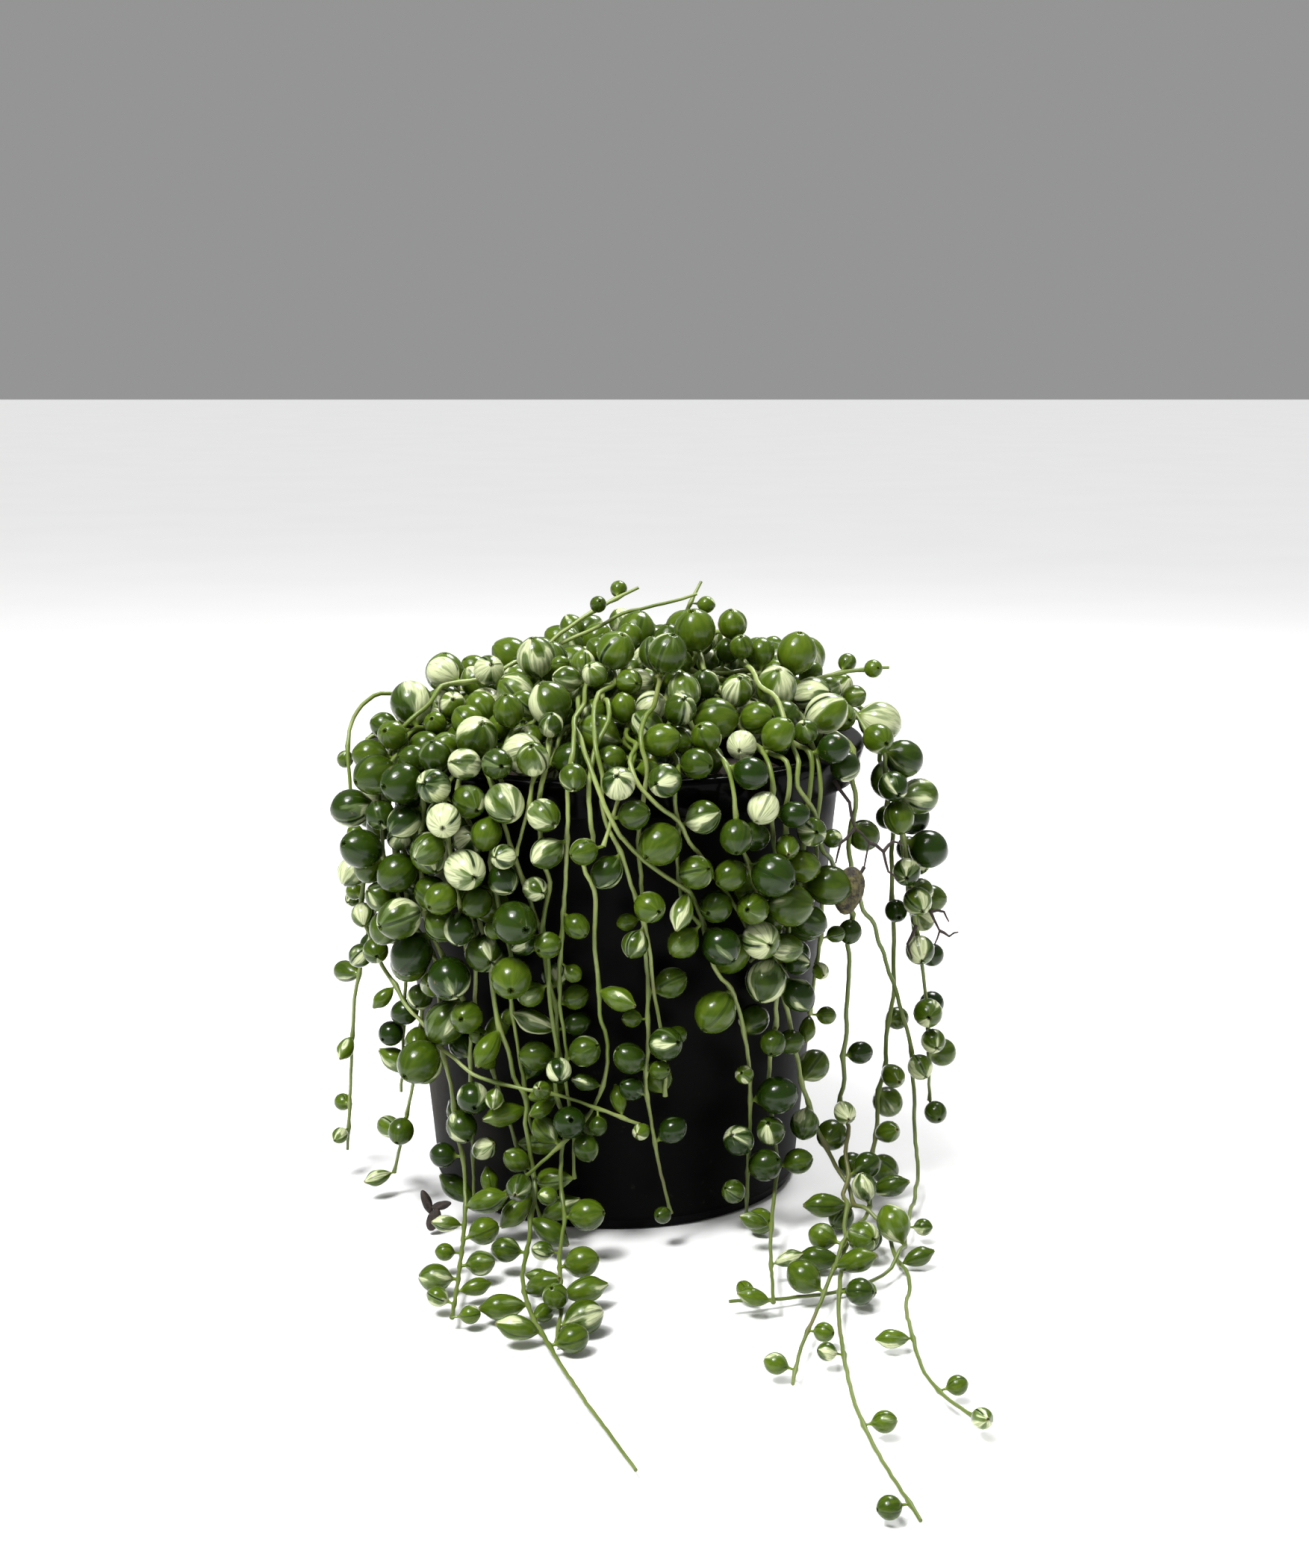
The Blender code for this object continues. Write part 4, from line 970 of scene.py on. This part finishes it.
def pot_material(look):
    """Black moulded plastic: glossy, with faint mould ripple and dust low on one side."""
    n = Nodes("moulded_pot")
    place = n.object_place()
    x, y, z = n.separate(place)
    cloud = n.noise(place, 38.0, 4.0, 0.6)
    speck = n.noise(place, 600.0, 2.0, 0.6)
    left = n.step(x, -0.020, -0.042)
    low = n.step(z, 0.070, 0.015)
    dust = n.times(n.times(left, low), n.step(cloud, 0.38, 0.70))
    specks = n.times(n.step(speck, 0.68, 0.74), n.step(z, 0.09, 0.0))
    dirt = n.math("ADD", dust, n.times(specks, 0.10), clamp=True)
    base = n.mix(n.times(speck, 0.5), look.plastic, look.plastic_worn)
    base = n.mix(n.times(dirt, 0.6), base, look.dust)
    n.colour(base)
    rough = n.plus(n.times(dirt, 0.35), n.times(speck, 0.10))
    rough = n.plus(rough, n.times(n.step(z, 0.094, 0.088), 0.28))
    rough = n.plus(rough, look.pot_roughness)
    n.link(rough, n.shader.inputs["Roughness"])
    n.set(Specular_IOR_Level=0.04)
    ripple = n.noise(n.combine(x, y, n.times(z, 0.15)), 160.0, 2.0, 0.5)
    n.bump(ripple, 0.00006, 0.4)
    return n.material


def soil_material(look):
    """Damp dark potting mix with lighter fibres and crumbs."""
    n = Nodes("potting_mix")
    place = n.object_place()
    grain = n.noise(place, 520.0, 5.0, 0.7)
    patch = n.noise(place, 90.0, 2.0, 0.5)
    base = n.mix(n.step(grain, 0.38, 0.66), look.soil_dark, look.soil_light)
    base = n.mix(n.times(n.step(patch, 0.55, 0.7), 0.5), base, look.soil_fibre)
    n.colour(base)
    n.set(Roughness=0.92)
    n.bump(grain, 0.0008, 0.9)
    return n.material


def dry_material(name, look, tint):
    """Dead leaves and old roots: brown, papery and wrinkled."""
    n = Nodes(name)
    place = n.object_place()
    wrinkle = n.noise(place, 700.0, 4.0, 0.65)
    base = n.mix(n.step(wrinkle, 0.35, 0.65), look.root_dark, tint)
    n.colour(base)
    n.set(Roughness=0.75)
    n.bump(wrinkle, 0.0005, 0.9)
    return n.material


def floor_material(look):
    """Pale matt floor with a faint cloud in it."""
    n = Nodes("pale_floor")
    cloud = n.noise(n.object_place(), 9.0, 2.0, 0.5)
    shaded = tuple(c * 0.985 for c in look.floor)
    n.colour(n.mix(n.step(cloud, 0.3, 0.7), look.floor, shaded))
    n.set(Roughness=0.75)
    return n.material


# ---------------------------------------------------------------- pot and soil


def pot_rings():
    """The pot's outline from the inner floor, over the lip and collar, to the underside."""
    inner_floor = wall_radius(FLOOR_THICKNESS) - WALL
    lip_top = POT_HEIGHT - LIP_RADIUS
    rings = [(2.0, FLOOR_THICKNESS), (inner_floor - 1.2, FLOOR_THICKNESS)]
    rings += [(inner_floor, FLOOR_THICKNESS + 1.2), (wall_radius(40.0) - WALL, 40.0)]
    rings += [(WALL_TOP_RADIUS - WALL, WALL_TOP), (WALL_TOP_RADIUS - WALL + 0.5, POT_HEIGHT - 4.5)]
    rings += [(WALL_TOP_RADIUS - WALL + 1.3, POT_HEIGHT - 2.6)]
    rings += arc(RIM_RADIUS - 3.2, lip_top, LIP_RADIUS, 155, 90, 5)
    rings += arc(RIM_RADIUS - LIP_RADIUS, lip_top, LIP_RADIUS, 90, 0, 7)
    rings += [(RIM_RADIUS - 0.5, POT_HEIGHT - 3.4), (RIM_RADIUS - 0.75, POT_HEIGHT - 4.0)]
    rings += [(RIM_RADIUS - 1.3, WALL_TOP + 0.5), (RIM_RADIUS - 1.6, WALL_TOP)]
    rings += [(RIM_RADIUS - 1.4 - WALL, WALL_TOP), (RIM_RADIUS - WALL - 0.8, lip_top - 0.6)]
    rings += [(WALL_TOP_RADIUS + 1.6, lip_top - 0.6), (WALL_TOP_RADIUS + 0.2, WALL_TOP + 1.5)]
    rings += [(wall_radius(z), z) for z in (WALL_TOP, 85.0, 60.0, 30.0, 3.2)]
    rings += [(wall_radius(2.4) + 0.35, 2.4), (wall_radius(1.2), 1.2)]
    rings += [(BASE_RADIUS - 0.3, 0.35), (BASE_RADIUS - 1.1, 0.0), (2.0, 0.0)]
    return rings


def drill_drain_holes(pot):
    """A ring of round holes through the base."""
    for i in range(HOLE_COUNT):
        angle = 2 * math.pi * (i + 0.5) / HOLE_COUNT
        place = Vector((math.cos(angle), math.sin(angle), 0.0)) * HOLE_RING * MM
        deselect_all()
        bpy.ops.mesh.primitive_cylinder_add(
            vertices=24, radius=HOLE_RADIUS * MM, depth=4 * FLOOR_THICKNESS * MM, location=place)
        drill = bpy.context.object
        apply_modifier(pot, "BOOLEAN", operation="DIFFERENCE", solver="EXACT", object=drill)
        bpy.data.objects.remove(drill)


def soil_crumbs(rng, count):
    """Loose crumbs of the mix, strewn over the soil and pressed into it."""
    deselect_all()
    bpy.ops.mesh.primitive_ico_sphere_add(subdivisions=1, radius=1.0)
    prototype = bpy.context.object
    made = []
    for _ in range(count):
        reach = (wall_radius(SOIL_TOP) - WALL - 3.0) * math.sqrt(rng.random())
        angle = rng.uniform(0, 2 * math.pi)
        size = rng.uniform(0.6, 1.7)
        place = Vector((reach * math.cos(angle), reach * math.sin(angle), SOIL_TOP - size * 0.4))
        shape = [size * rng.uniform(0.6, 1.2) * MM for _ in range(3)]
        turn = Matrix.Rotation(rng.uniform(0, 6.3), 4, Vector((rng.random(), rng.random(), 0.5)))
        crumb = own_copy(prototype)
        crumb.data.transform(
            Matrix.Translation(place * MM) @ turn @ Matrix.Diagonal((*shape, 1.0)))
        made.append(crumb)
    bpy.data.objects.remove(prototype)
    return made


# ---------------------------------------------------------------- stems


def smooth_stem(nodes, rng):
    """A finer path through the stem's nodes, and how far along it each point is.

    The points between two nodes are nudged a little, so that the stem looks grown.
    """
    p = np.vstack([2 * nodes[0] - nodes[1], nodes, 2 * nodes[-1] - nodes[-2]])
    path = []
    along = []
    for i in range(1, len(p) - 2):
        for step in range(STEM_SMOOTHING):
            t = step / STEM_SMOOTHING
            place = curve_place(p[i - 1:i + 3], t)
            if step:
                place = place + np.array([rng.uniform(-STEM_NUDGE, STEM_NUDGE) for _ in "xyz"])
            path.append(place)
            along.append(i - 1 + t)
    path.append(p[-2])
    along.append(len(nodes) - 1)
    return path, along


def tube(name, path, widths, depth):
    """A round tube along a path in millimetres, made a mesh."""
    curve = bpy.data.curves.new(name, "CURVE")
    curve.dimensions = "3D"
    curve.bevel_depth = depth * MM
    curve.bevel_resolution = 2
    curve.use_fill_caps = True
    spline = curve.splines.new("POLY")
    spline.points.add(len(path) - 1)
    for point, place, width in zip(spline.points, path, widths):
        point.co = (*(Vector(place) * MM), 1.0)
        point.radius = width
    obj = bpy.data.objects.new(name, curve)
    bpy.context.collection.objects.link(obj)
    make_active(obj)
    bpy.ops.object.convert(target="MESH")
    obj = bpy.context.object
    edit(obj)
    bpy.ops.mesh.select_all(action="SELECT")
    bpy.ops.mesh.remove_doubles(threshold=0.000005)
    close_edit()
    bpy.ops.object.shade_smooth_by_angle(angle=math.radians(50))
    return obj


def stem_widths(along, strand, thin):
    """A stem thins towards its tip and swells a little where a leaf joins it."""
    last = len(strand["nodes"]) - 1
    joints = {leaf["node"] for leaf in strand["leaves"]}
    widths = []
    for at in along:
        width = STEM_WIDTH - thin * (at / last) ** 2
        if round(at) in joints:
            width += JOINT_SWELL * max(0.0, 1.0 - 2.5 * abs(at - round(at)))
        widths.append(width)
    return widths


# ---------------------------------------------------------------- leaves


def shape_leaf(name, tip_length, belly):
    """One leaf of unit size: a rounded body with a pointed tip up and a short stalk down.

    A belly over 0 makes it wider towards the tip.
    """
    deselect_all()
    bpy.ops.mesh.primitive_uv_sphere_add(segments=10, ring_count=7, radius=1.0)
    leaf = bpy.context.object
    leaf.name = name
    edit(leaf)
    select_vertices(leaf, lambda co: co.z > 0.99)
    bpy.ops.mesh.bevel(offset=0.13, segments=1, affect="VERTICES")
    select_vertices(leaf, lambda co: co.z > 0.93)
    bpy.ops.transform.translate(value=(0, 0, tip_length))
    bpy.ops.transform.resize(value=(0.55, 0.55, 1.0))
    select_vertices(leaf, lambda co: co.z < -0.99)
    bpy.ops.transform.translate(value=(0, 0, -0.16))
    bpy.ops.mesh.bevel(offset=0.16, segments=1, affect="VERTICES")
    select_vertices(leaf, lambda co: co.z < -0.97)
    bpy.ops.mesh.edge_face_add()
    bpy.ops.mesh.extrude_region_move(TRANSFORM_OT_translate={"value": (0, 0, -0.16)})
    bpy.ops.transform.resize(value=(0.85, 0.85, 1.0))
    bpy.ops.mesh.extrude_region_move(TRANSFORM_OT_translate={"value": (0, 0, -0.5)})
    close_edit()
    for vert in leaf.data.vertices:
        if -0.95 < vert.co.z < 0.99:
            swell = 1.0 + belly * (1.0 - vert.co.z ** 2) * vert.co.z
            vert.co.x *= swell
            vert.co.y *= swell
    leaf.data.shade_smooth()
    return leaf


def leaf_turn(stalk, centre, roll):
    """Turns a leaf's tip away from its stalk and its stripe towards the light."""
    axis = (centre - stalk).normalized()
    light = Vector((centre.x, centre.y, 0.0)).normalized() + Vector((-0.2, -0.3, 0.55))
    front = (light - axis * light.dot(axis)).normalized()
    side = axis.cross(front)
    turn = Matrix((front, side, axis)).transposed().to_4x4()
    return turn @ Matrix.Rotation(roll, 4, "Z")


def grow_leaf(prototype, strand, leaf, look):
    """A copy of a leaf in its place on the strand, with its own shape, size and colouring."""
    stalk = Vector(strand["nodes"][leaf["node"]])
    centre = Vector(leaf["centre"])
    radius = leaf["radius"] * CAGE_SWELL
    drop = leaf["kind"] in DROPS
    width = radius * (DROP_WIDTH if drop else look.uniform(0.97, 1.0))
    length = radius * (DROP_LENGTH if drop else look.uniform(0.95, 1.05))
    reach = (centre - stalk).length
    copy = own_copy(prototype)
    mesh = copy.data
    place = np.zeros(len(mesh.vertices) * 3)
    mesh.vertices.foreach_get("co", place)
    place = place.reshape(-1, 3)
    shape = place * (width, width, length)
    neck = place[:, 2] < -NECK
    stretch = max(SHORTEST_NECK, (reach - length * NECK) / (length * NECK_LENGTH))
    shape[neck, 2] = -length * NECK + (place[neck, 2] + NECK) * length * stretch
    shape[neck, :2] *= min(1.0, NECK_WIDTH / radius)
    mesh.vertices.foreach_set("co", (shape * MM).ravel())
    mesh.transform(Matrix.Translation(centre * MM) @ leaf_turn(stalk, centre, look.uniform(-2, 2)))
    bits = mesh.attributes.new("leaf_place", "FLOAT_VECTOR", "POINT")
    bits.data.foreach_set("vector", place.ravel())
    mark = mesh.attributes.new("leaf_look", "FLOAT_VECTOR", "POINT")
    mark.data.foreach_set("vector", leaf_look(leaf, look) * len(mesh.vertices))
    return copy


def leaf_look(leaf, look):
    """A leaf's seed, its share of cream and its age; the crown is creamier than the strands."""
    height = leaf["centre"][2]
    kind = look.random()
    if height > CREAMY_FROM:
        kind = CROWN_BIAS + (1.0 - CROWN_BIAS) * kind
    else:
        kind = STRAND_BIAS * kind
    if kind < GREEN_SHARE:
        cream = look.uniform(0.0, 0.25)
    elif kind < STRIPED_SHARE:
        cream = look.uniform(0.25, 0.60)
    else:
        cream = look.uniform(0.75, 1.0)
    young = leaf["kind"] in YOUNG_KINDS or height > YOUNG_ABOVE or height < YOUNG_BELOW
    age = look.uniform(0.0, 0.75) if young else look.uniform(0.35, 1.0)
    return [look.random(), cream, age]


# ---------------------------------------------------------------- dry bits

# Dry air roots, each a list of points in millimetres; a branch starts at a point of an earlier root
ROOTLETS = (
    ((46, -33, 96), (49, -36, 92), (50, -38, 87), (53, -38, 84), (52, -39, 79)),
    ((50, -38, 87), (47, -39, 84), (46, -40, 80)),
    ((53, -38, 84), (56, -38, 82), (57, -39, 78), (59, -38, 76)),
    ((52, -39, 79), (50, -40, 76), (51, -41, 72)),
    ((56, -38, 82), (58, -37, 84), (60, -37, 83)),
    ((66, -12, 66), (69, -14, 63), (71, -15, 59), (70, -15, 56)),
    ((69, -14, 63), (72, -14, 63), (73, -15, 61)),
    ((71, -15, 59), (73, -16, 58), (75, -16, 59)),
    ((66, -14, 60), (64, -15, 56), (65, -16, 53)),
)

# Withered and dried leaves: a place in millimetres, a size, a stretch and a turn in degrees
WITHERED = (((48.8, -41.0, 75.0), 4.0, 1.15, 190),)
DRIED = (
    ((-38.0, -43.0, 3.2), 1.8, 1.3, 20),
    ((-39.5, -42.0, 7.2), 1.3, 2.0, 160),
    ((-36.5, -42.5, 6.4), 1.2, 1.6, 75),
)


def build_rootlets():
    """Thin dark roots that hang in the air, joined into one piece."""
    made = []
    for i, points in enumerate(ROOTLETS):
        path = [np.array(point, float) for point in points]
        bent = [path[0]]
        for a, b in zip(path[:-1], path[1:]):
            bent += [(a + b) / 2 + (b - a)[[1, 2, 0]] * 0.12, b]
        widths = [1.0 - 0.6 * k / (len(bent) - 1) for k in range(len(bent))]
        made.append(tube(f"rootlet_{i}", bent, widths, ROOTLET_RADIUS))
    return join(made, "dry_rootlets")


def build_shrunken(name, leaves):
    """Shrunken leaves: dented, folded and pulled thin."""
    rng = random.Random(SEED)
    made = []
    for place, size, stretch, turn in leaves:
        deselect_all()
        bpy.ops.mesh.primitive_uv_sphere_add(segments=20, ring_count=14, radius=1.0)
        leaf = bpy.context.object
        folds = rng.uniform(0, 6)
        for vert in leaf.data.vertices:
            angle = math.atan2(vert.co.y, vert.co.x)
            dent = 1 + math.sin(5 * angle + folds + 2 * vert.co.z)
            fold = 1.0 - 0.16 * dent * (1 - vert.co.z ** 2)
            vert.co.x *= fold * (0.86 + 0.1 * vert.co.z)
            vert.co.y *= fold * (0.62 - 0.1 * vert.co.z)
            vert.co.z *= stretch * (1.0 + 0.25 * max(0.0, vert.co.z) ** 4)
        turned_by = Matrix.Rotation(math.radians(turn), 4, "Y")
        leaf.data.transform(Matrix.Translation(Vector(place) * MM) @ turned_by
                            @ Matrix.Scale(size * MM, 4))
        leaf.data.shade_smooth()
        made.append(leaf)
    return join(made, name)


# ---------------------------------------------------------------- settings


def colour(name, description, value):
    """A colour setting."""
    return bpy.props.FloatVectorProperty(
        name=name, description=description, subtype="COLOR", default=value)


def share(name, description, value):
    """A setting from 0 to 1."""
    return bpy.props.FloatProperty(
        name=name, description=description, min=0.0, max=1.0, default=value)


class PearlsLook(bpy.types.PropertyGroup):
    """Colours and finishes."""

    old_green: colour("Old leaf", "Deep green of a full-grown leaf", (0.010, 0.026, 0.0010))
    young_green: colour("Young leaf", "Fresh green of a young leaf", (0.058, 0.102, 0.004))
    bright_green: colour("Bright patch", "Yellow-green patches", (0.108, 0.156, 0.010))
    silver_green: colour("Silver edge", "Grey-green between cream and green", (0.150, 0.205, 0.080))
    cream: colour("Cream", "Cream sectors", (0.560, 0.600, 0.350))
    window: colour("Window", "Dark clear stripe of a leaf", (0.005, 0.014, 0.002))
    dry_tip: colour("Tip", "Dry point at a leaf's end", (0.250, 0.220, 0.100))
    stalk: colour("Stalk", "Where a leaf narrows to its stalk", (0.130, 0.185, 0.026))
    scar: colour("Scar", "Brown marks on old leaves", (0.160, 0.110, 0.040))
    gloss: share("Leaf roughness", "Roughness of a leaf's skin", 0.15)
    stem_green: colour("Stem", "Green of the stems", (0.115, 0.165, 0.022))
    stem_pale: colour("Pale stem", "Pale stretches of the stems", (0.270, 0.330, 0.100))
    stem_olive: colour(
        "Trailing stem", "Dull green of stems near the surface below", (0.085, 0.118, 0.020))
    stem_brown: colour("Old stem", "Brown stretches of old stems", (0.150, 0.115, 0.050))
    plastic: colour("Plastic", "The pot's black", (0.0012, 0.0012, 0.0013))
    plastic_worn: colour("Worn plastic", "The pot's handled patches", (0.0025, 0.0025, 0.0025))
    dust: colour("Dust", "Dust and lime low on the pot", (0.110, 0.100, 0.085))
    pot_roughness: share("Pot roughness", "Roughness of clean plastic", 0.13)
    soil_dark: colour("Soil", "Damp soil", (0.012, 0.008, 0.005))
    soil_light: colour("Soil crumbs", "Drier crumbs", (0.060, 0.040, 0.025))
    soil_fibre: colour("Soil fibre", "Fibres in the mix", (0.110, 0.070, 0.040))
    withered: colour("Withered", "Dead leaves", (0.115, 0.100, 0.032))
    root_dark: colour("Old root", "Darkest parts of dry roots", (0.012, 0.007, 0.005))
    root_pale: colour("Root skin", "Lighter parts of dry roots", (0.030, 0.018, 0.012))
    floor: colour("Floor", "Pale floor", (0.86, 0.86, 0.86))


class PearlsSizes(bpy.types.PropertyGroup):
    """Sizes that only the look uses."""

    stem_thickness: bpy.props.FloatProperty(
        name="Stem thickness", description="Diameter of a stem in millimetres", min=0.5, max=2.5,
        default=1.02)
    tip_taper: bpy.props.FloatProperty(
        name="Tip taper", description="How much a stem thins towards its tip", min=0.0, max=0.8,
        default=0.38)
    crumb_count: bpy.props.IntProperty(
        name="Crumbs", description="Loose crumbs on the soil", min=0, max=400, default=220)
    floor_size: bpy.props.FloatProperty(
        name="Floor size", description="Side of the floor", unit="LENGTH", min=1.0, default=12.0)


# ---------------------------------------------------------------- operators


class PEARLS_OT_pot(bpy.types.Operator):
    """Models the nursery pot"""

    bl_idname = "pearls.pot"
    bl_label = "Pot"

    def execute(self, context):
        pot = turned("nursery_pot", pot_rings(), POT_SIDES)
        drill_drain_holes(pot)
        make_active(pot)
        bpy.ops.object.shade_smooth_by_angle(angle=math.radians(35))
        finish_piece(pot, pot_material(context.scene.pearls_look), "pot_plastic", "pot")
        return {"FINISHED"}


class PEARLS_OT_soil(bpy.types.Operator):
    """Models the potting mix with its crumbs"""

    bl_idname = "pearls.soil"
    bl_label = "Soil"

    def execute(self, context):
        rng = random.Random(SEED)
        bottom = FLOOR_THICKNESS + SOIL_GAP
        low = wall_radius(bottom) - WALL - SOIL_GAP
        high = wall_radius(SOIL_TOP) - WALL - SOIL_GAP
        rings = [(2.0, bottom), (low, bottom), (high, SOIL_TOP - 1.0), (high - 0.8, SOIL_TOP)]
        for i in range(1, SOIL_RINGS + 1):
            rings.append((high - 0.8 - i * SOIL_RING_STEP, SOIL_TOP))
        soil = turned("potting_soil", rings, SOIL_SIDES)
        for vert in soil.data.vertices:
            if vert.co.z > (SOIL_TOP - 0.5) * MM and math.hypot(vert.co.x, vert.co.y) < high * MM:
                vert.co.z += rng.uniform(*SOIL_BUMPS) * MM
        soil.data.shade_smooth()
        count = context.scene.pearls_sizes.crumb_count
        soil = join([soil] + soil_crumbs(rng, count), "potting_soil")
        finish_piece(soil, soil_material(context.scene.pearls_look), "potting_soil", "soil")
        return {"FINISHED"}


class PEARLS_OT_strands(bpy.types.Operator):
    """Models every strand's stem and leaves"""

    bl_idname = "pearls.strands"
    bl_label = "Strands"

    def execute(self, context):
        sizes = context.scene.pearls_sizes
        skin = stem_material(context.scene.pearls_look)
        flesh = leaf_material(context.scene.pearls_look)
        look, grain = random.Random(LEAF_SEED), random.Random(LEAF_SEED)
        pearl = shape_leaf("pearl_shape", PEARL_TIP, 0.0)
        drop = shape_leaf("drop_shape", DROP_TIP, DROP_BELLY)
        for strand in grow_strands():
            path, along = smooth_stem(strand["nodes"], grain)
            widths = stem_widths(along, strand, sizes.tip_taper)
            stem = tube(strand["name"] + "_stem", path, widths, sizes.stem_thickness / 2)
            finish_piece(stem, skin, "stem", "strand_" + strand["name"])
            leaves = []
            for leaf in strand["leaves"]:
                prototype = drop if leaf["kind"] in DROPS else pearl
                leaves.append(grow_leaf(prototype, strand, leaf, look))
            if leaves:
                foliage = join(leaves, strand["name"] + "_leaves")
                apply_modifier(foliage, "SUBSURF", levels=1, use_limit_surface=False)
                finish_piece(foliage, flesh, "leaf")
        bpy.data.objects.remove(pearl)
        bpy.data.objects.remove(drop)
        return {"FINISHED"}


class PEARLS_OT_dry_bits(bpy.types.Operator):
    """Models the dry air roots and the withered leaves"""

    bl_idname = "pearls.dry_bits"
    bl_label = "Dry bits"

    def execute(self, context):
        look = context.scene.pearls_look
        roots = dry_material("dry_root", look, look.root_pale)
        finish_piece(build_rootlets(), roots, "stem")
        dried = build_shrunken("dried_leaves", DRIED)
        finish_piece(dried, roots, "leaf")
        withered = build_shrunken("withered_leaf", WITHERED)
        finish_piece(withered, dry_material("withered", look, look.withered), "leaf")
        return {"FINISHED"}


def put_in_scene(name, data):
    """A light or a camera as an object of the scene."""
    obj = bpy.data.objects.new(name, data)
    bpy.context.scene.collection.objects.link(obj)
    return obj


def light_sky(scene):
    """An even white sky."""
    world = bpy.data.worlds.new("studio")
    scene.world = world
    world.use_nodes = True
    sky = world.node_tree.nodes["Background"]
    sky.inputs["Color"].default_value = (1.0, 1.0, 1.0, 1.0)
    sky.inputs["Strength"].default_value = SKY_POWER


def hang_sun():
    """A broad soft light from overhead."""
    sun = bpy.data.lights.new("overhead_light", "SUN")
    sun.energy = SUN_POWER
    sun.angle = math.radians(SUN_SPREAD)
    high = put_in_scene("overhead_light", sun)
    high.rotation_euler = (math.radians(SUN_TURN[0]), math.radians(SUN_TURN[1]), 0.0)


def hang_softbox(name, place, size, power):
    """A round soft light that points at the middle of the pot."""
    light = bpy.data.lights.new(name, "AREA")
    light.shape = "DISK"
    light.size = size
    light.energy = power
    obj = put_in_scene(name, light)
    obj.location = place
    aim = Vector((0.0, 0.0, POT_HIGH.z / 2)) - Vector(place)
    obj.rotation_euler = aim.to_track_quat("-Z", "Y").to_euler()


def place_camera(scene):
    """The camera, level from side to side and looking down a little."""
    camera = bpy.data.cameras.new("camera")
    camera.lens = LENS
    camera.sensor_width = 36.0
    camera.sensor_fit = "AUTO"
    camera.clip_start = 0.01
    eye = put_in_scene("camera", camera)
    eye.location = CAMERA_PLACE
    eye.rotation_euler = (math.pi / 2 - CAMERA_PITCH, 0.0, 0.0)
    scene.camera = eye


class PEARLS_OT_stage(bpy.types.Operator):
    """Adds the floor, the lights and the camera"""

    bl_idname = "pearls.stage"
    bl_label = "Stage"

    def execute(self, context):
        deselect_all()
        bpy.ops.mesh.primitive_plane_add(size=context.scene.pearls_sizes.floor_size)
        floor = bpy.context.object
        floor.name = "floor"
        floor.data.materials.append(floor_material(context.scene.pearls_look))
        context.scene.view_settings.view_transform = "Standard"
        light_sky(context.scene)
        hang_sun()
        for softbox in SOFTBOXES:
            hang_softbox(*softbox)
        place_camera(context.scene)
        return {"FINISHED"}


class PEARLS_PT_panel(bpy.types.Panel):
    """Lists the steps in order"""

    bl_idname = "PEARLS_PT_panel"
    bl_label = "String of pearls"
    bl_space_type = "VIEW_3D"
    bl_region_type = "UI"
    bl_category = "Pearls"

    def draw(self, context):
        for step in STEPS:
            self.layout.operator(step.bl_idname)
        for group in (context.scene.pearls_look, context.scene.pearls_sizes):
            for key in group.__annotations__:
                self.layout.prop(group, key)


STEPS = (PEARLS_OT_stage, PEARLS_OT_pot, PEARLS_OT_soil, PEARLS_OT_strands, PEARLS_OT_dry_bits)
CLASSES = (PearlsLook, PearlsSizes, *STEPS, PEARLS_PT_panel)


def register():
    for item in CLASSES:
        bpy.utils.register_class(item)
    bpy.types.Scene.pearls_look = bpy.props.PointerProperty(type=PearlsLook)
    bpy.types.Scene.pearls_sizes = bpy.props.PointerProperty(type=PearlsSizes)


def unregister():
    del bpy.types.Scene.pearls_look
    del bpy.types.Scene.pearls_sizes
    for item in reversed(CLASSES):
        bpy.utils.unregister_class(item)


def main():
    register()
    bpy.ops.pearls.stage()
    bpy.ops.pearls.pot()
    bpy.ops.pearls.soil()
    bpy.ops.pearls.strands()
    bpy.ops.pearls.dry_bits()


if __name__ == "__main__":
    main()
